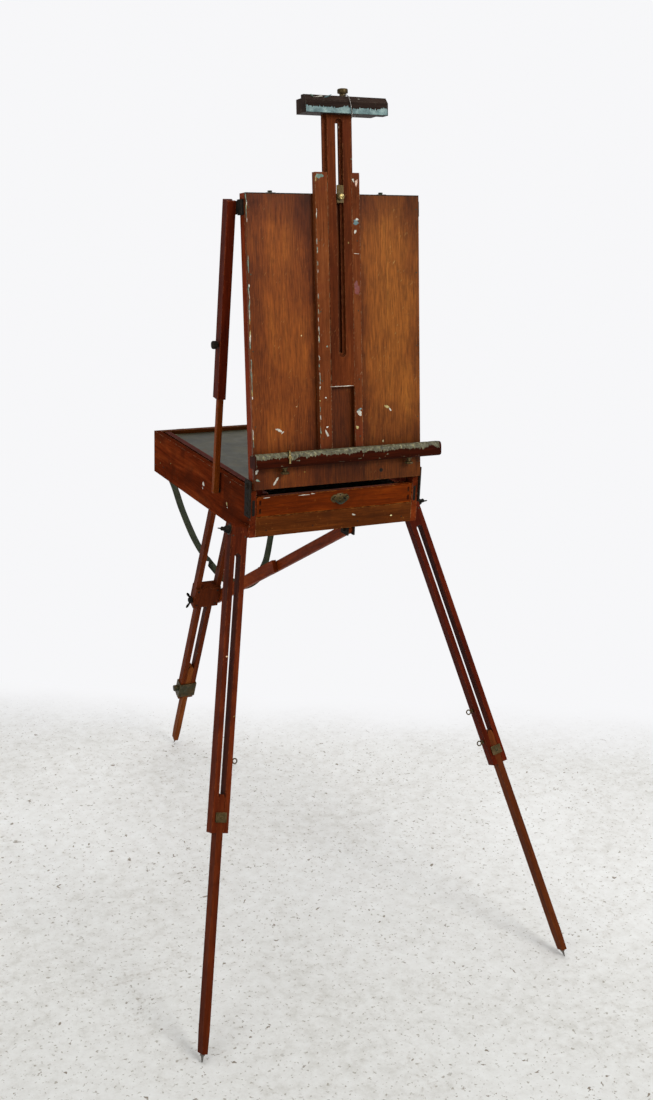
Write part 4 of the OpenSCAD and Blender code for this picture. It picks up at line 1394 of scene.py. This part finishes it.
def floor_material():
    """Pale, spotted floor that fades into the backdrop far from the camera."""
    mat = Shader("floor_pale")
    raw = mat.coords()
    broad = mat.noise(raw, scale=2.2, detail=4)
    mottle = mat.noise(raw, scale=34.0, detail=5, rough=0.75)
    fine = mat.noise(raw, scale=120.0)
    tones = [(0.36, srgb(218, 216, 210)), (0.48, srgb(234, 233, 229)),
             (0.62, srgb(243, 243, 240))]
    color = mat.ramp(mat.add(mat.mul(broad, 0.35), mat.mul(mottle, 0.65)), tones)
    color = mat.mix(mat.step(fine, (0.60, 0.68), to=(0, 0.8)), color, srgb(160, 152, 138))
    spots = mat.step(mat.noise(raw, scale=52.0, distortion=0.5), (0.665, 0.69), to=(0, 0.85))
    spots = mat.mul(spots, mat.step(broad, (0.42, 0.5)))
    color = mat.mix(spots, color, srgb(120, 104, 84))
    scuffs = mat.noise(raw, scale=7.0, detail=5, rough=0.7, distortion=1.2)
    scuffs = mat.mul(mat.step(scuffs, (0.60, 0.66), to=(0, 0.35)), mat.step(fine, (0.4, 0.6)))
    color = mat.mix(scuffs, color, srgb(196, 190, 180))
    away = mat.vector("DOT_PRODUCT", raw, (math.sin(CAMERA_YAW), math.cos(CAMERA_YAW), 0))
    # painted shade: the floor is darker near the camera and lighter away from it
    near_camera_shade = [(0.0, (0.84, 0.84, 0.83, 1)), (1.0, grey(1.06))]
    color = mat.tint(color, mat.ramp(mat.step(away, (-1.1, 0.3)), near_camera_shade))
    mat.surface({"Base Color": color, "Roughness": 0.8, "Specular IOR Level": 0.2})
    mat.bump(mat.add(mottle, mat.mul(fine, 0.4)), strength=0.2, distance=0.002)
    wobble = mat.mul(mat.noise(raw, scale=1.5), 0.35)
    fade = mat.math("MAXIMUM", mat.step(mat.add(away, wobble), (0.66, 1.08)),
                    mat.step(mat.vector("LENGTH", raw), (2.2, 5.0)))
    glow = mat.node("Emission", {0: BACKDROP})
    blend = mat.node("MixShader", {0: fade, 1: mat.bsdf.outputs[0], 2: glow.outputs[0]})
    mat.fill(mat.output, {0: blend.outputs[0]})
    return mat.material


def floor():
    mesh = bpy.data.meshes.new("floor")
    corners = [(x * FLOOR_HALF, y * FLOOR_HALF, 0)
               for x, y in ((-1, -1), (1, -1), (1, 1), (-1, 1))]
    mesh.from_pydata(corners, [], [(0, 1, 2, 3)])
    mesh.materials.append(floor_material())
    obj = bpy.data.objects.new("floor", mesh)
    obj.location.z = -0.0006
    bpy.context.scene.collection.objects.link(obj)


def area_light(name, location, target, size, power):
    light = bpy.data.lights.new(name, "AREA")
    light.shape = "RECTANGLE"
    light.size, light.size_y = size
    light.energy = power
    obj = bpy.data.objects.new(name, light)
    obj.location = location
    aim = Vector(target) - Vector(location)
    obj.rotation_euler = aim.to_track_quat("-Z", "Y").to_euler()
    bpy.context.scene.collection.objects.link(obj)


def world():
    """Soft ambient light; the camera sees the plain backdrop instead."""
    studio = bpy.data.worlds.new("studio")
    studio.use_nodes = True
    tree = studio.node_tree
    ambient = tree.nodes["Background"]
    ambient.inputs[0].default_value = (0.94, 0.95, 0.97, 1)
    ambient.inputs[1].default_value = 0.55
    backdrop = tree.nodes.new("ShaderNodeBackground")
    backdrop.inputs[0].default_value = BACKDROP
    rays = tree.nodes.new("ShaderNodeLightPath")
    blend = tree.nodes.new("ShaderNodeMixShader")
    tree.links.new(rays.outputs["Is Camera Ray"], blend.inputs[0])
    tree.links.new(ambient.outputs[0], blend.inputs[1])
    tree.links.new(backdrop.outputs[0], blend.inputs[2])
    tree.links.new(blend.outputs[0], tree.nodes["World Output"].inputs[0])
    bpy.context.scene.world = studio


def camera():
    """Looks down from the front left, slightly rolled."""
    data = bpy.data.cameras.new("camera")
    data.sensor_width = 36.0
    data.lens = 42.562473
    data.clip_end = 100
    obj = bpy.data.objects.new("camera", data)
    forward = Vector((math.sin(CAMERA_YAW) * math.cos(CAMERA_PITCH),
                      math.cos(CAMERA_YAW) * math.cos(CAMERA_PITCH), -math.sin(CAMERA_PITCH)))
    right = Vector((math.cos(CAMERA_YAW), -math.sin(CAMERA_YAW), 0))
    up = right.cross(forward)
    rolled_right = right * math.cos(CAMERA_ROLL) + up * math.sin(CAMERA_ROLL)
    rolled_up = -right * math.sin(CAMERA_ROLL) + up * math.cos(CAMERA_ROLL)
    place = Matrix((rolled_right, rolled_up, -forward)).transposed().to_4x4()
    place.translation = scene_point(-1144.43, -2189.69, 742.58)
    obj.matrix_world = place
    bpy.context.scene.collection.objects.link(obj)
    bpy.context.scene.camera = obj


floor()
area_light("key", location=(0.9, -3.2, 2.9), target=(0, 0, 0.9), size=(1.4, 1.0), power=62)
area_light("fill", location=(-3.2, -1.8, 2.2), target=(0, 0, 0.9), size=(2.2, 2.2), power=22)
area_light("top", location=(0.0, 0.4, 4.2), target=(0, 0, 0.8), size=(3.0, 3.0), power=40)
world()
bpy.context.scene.view_settings.view_transform = "Standard"
camera()
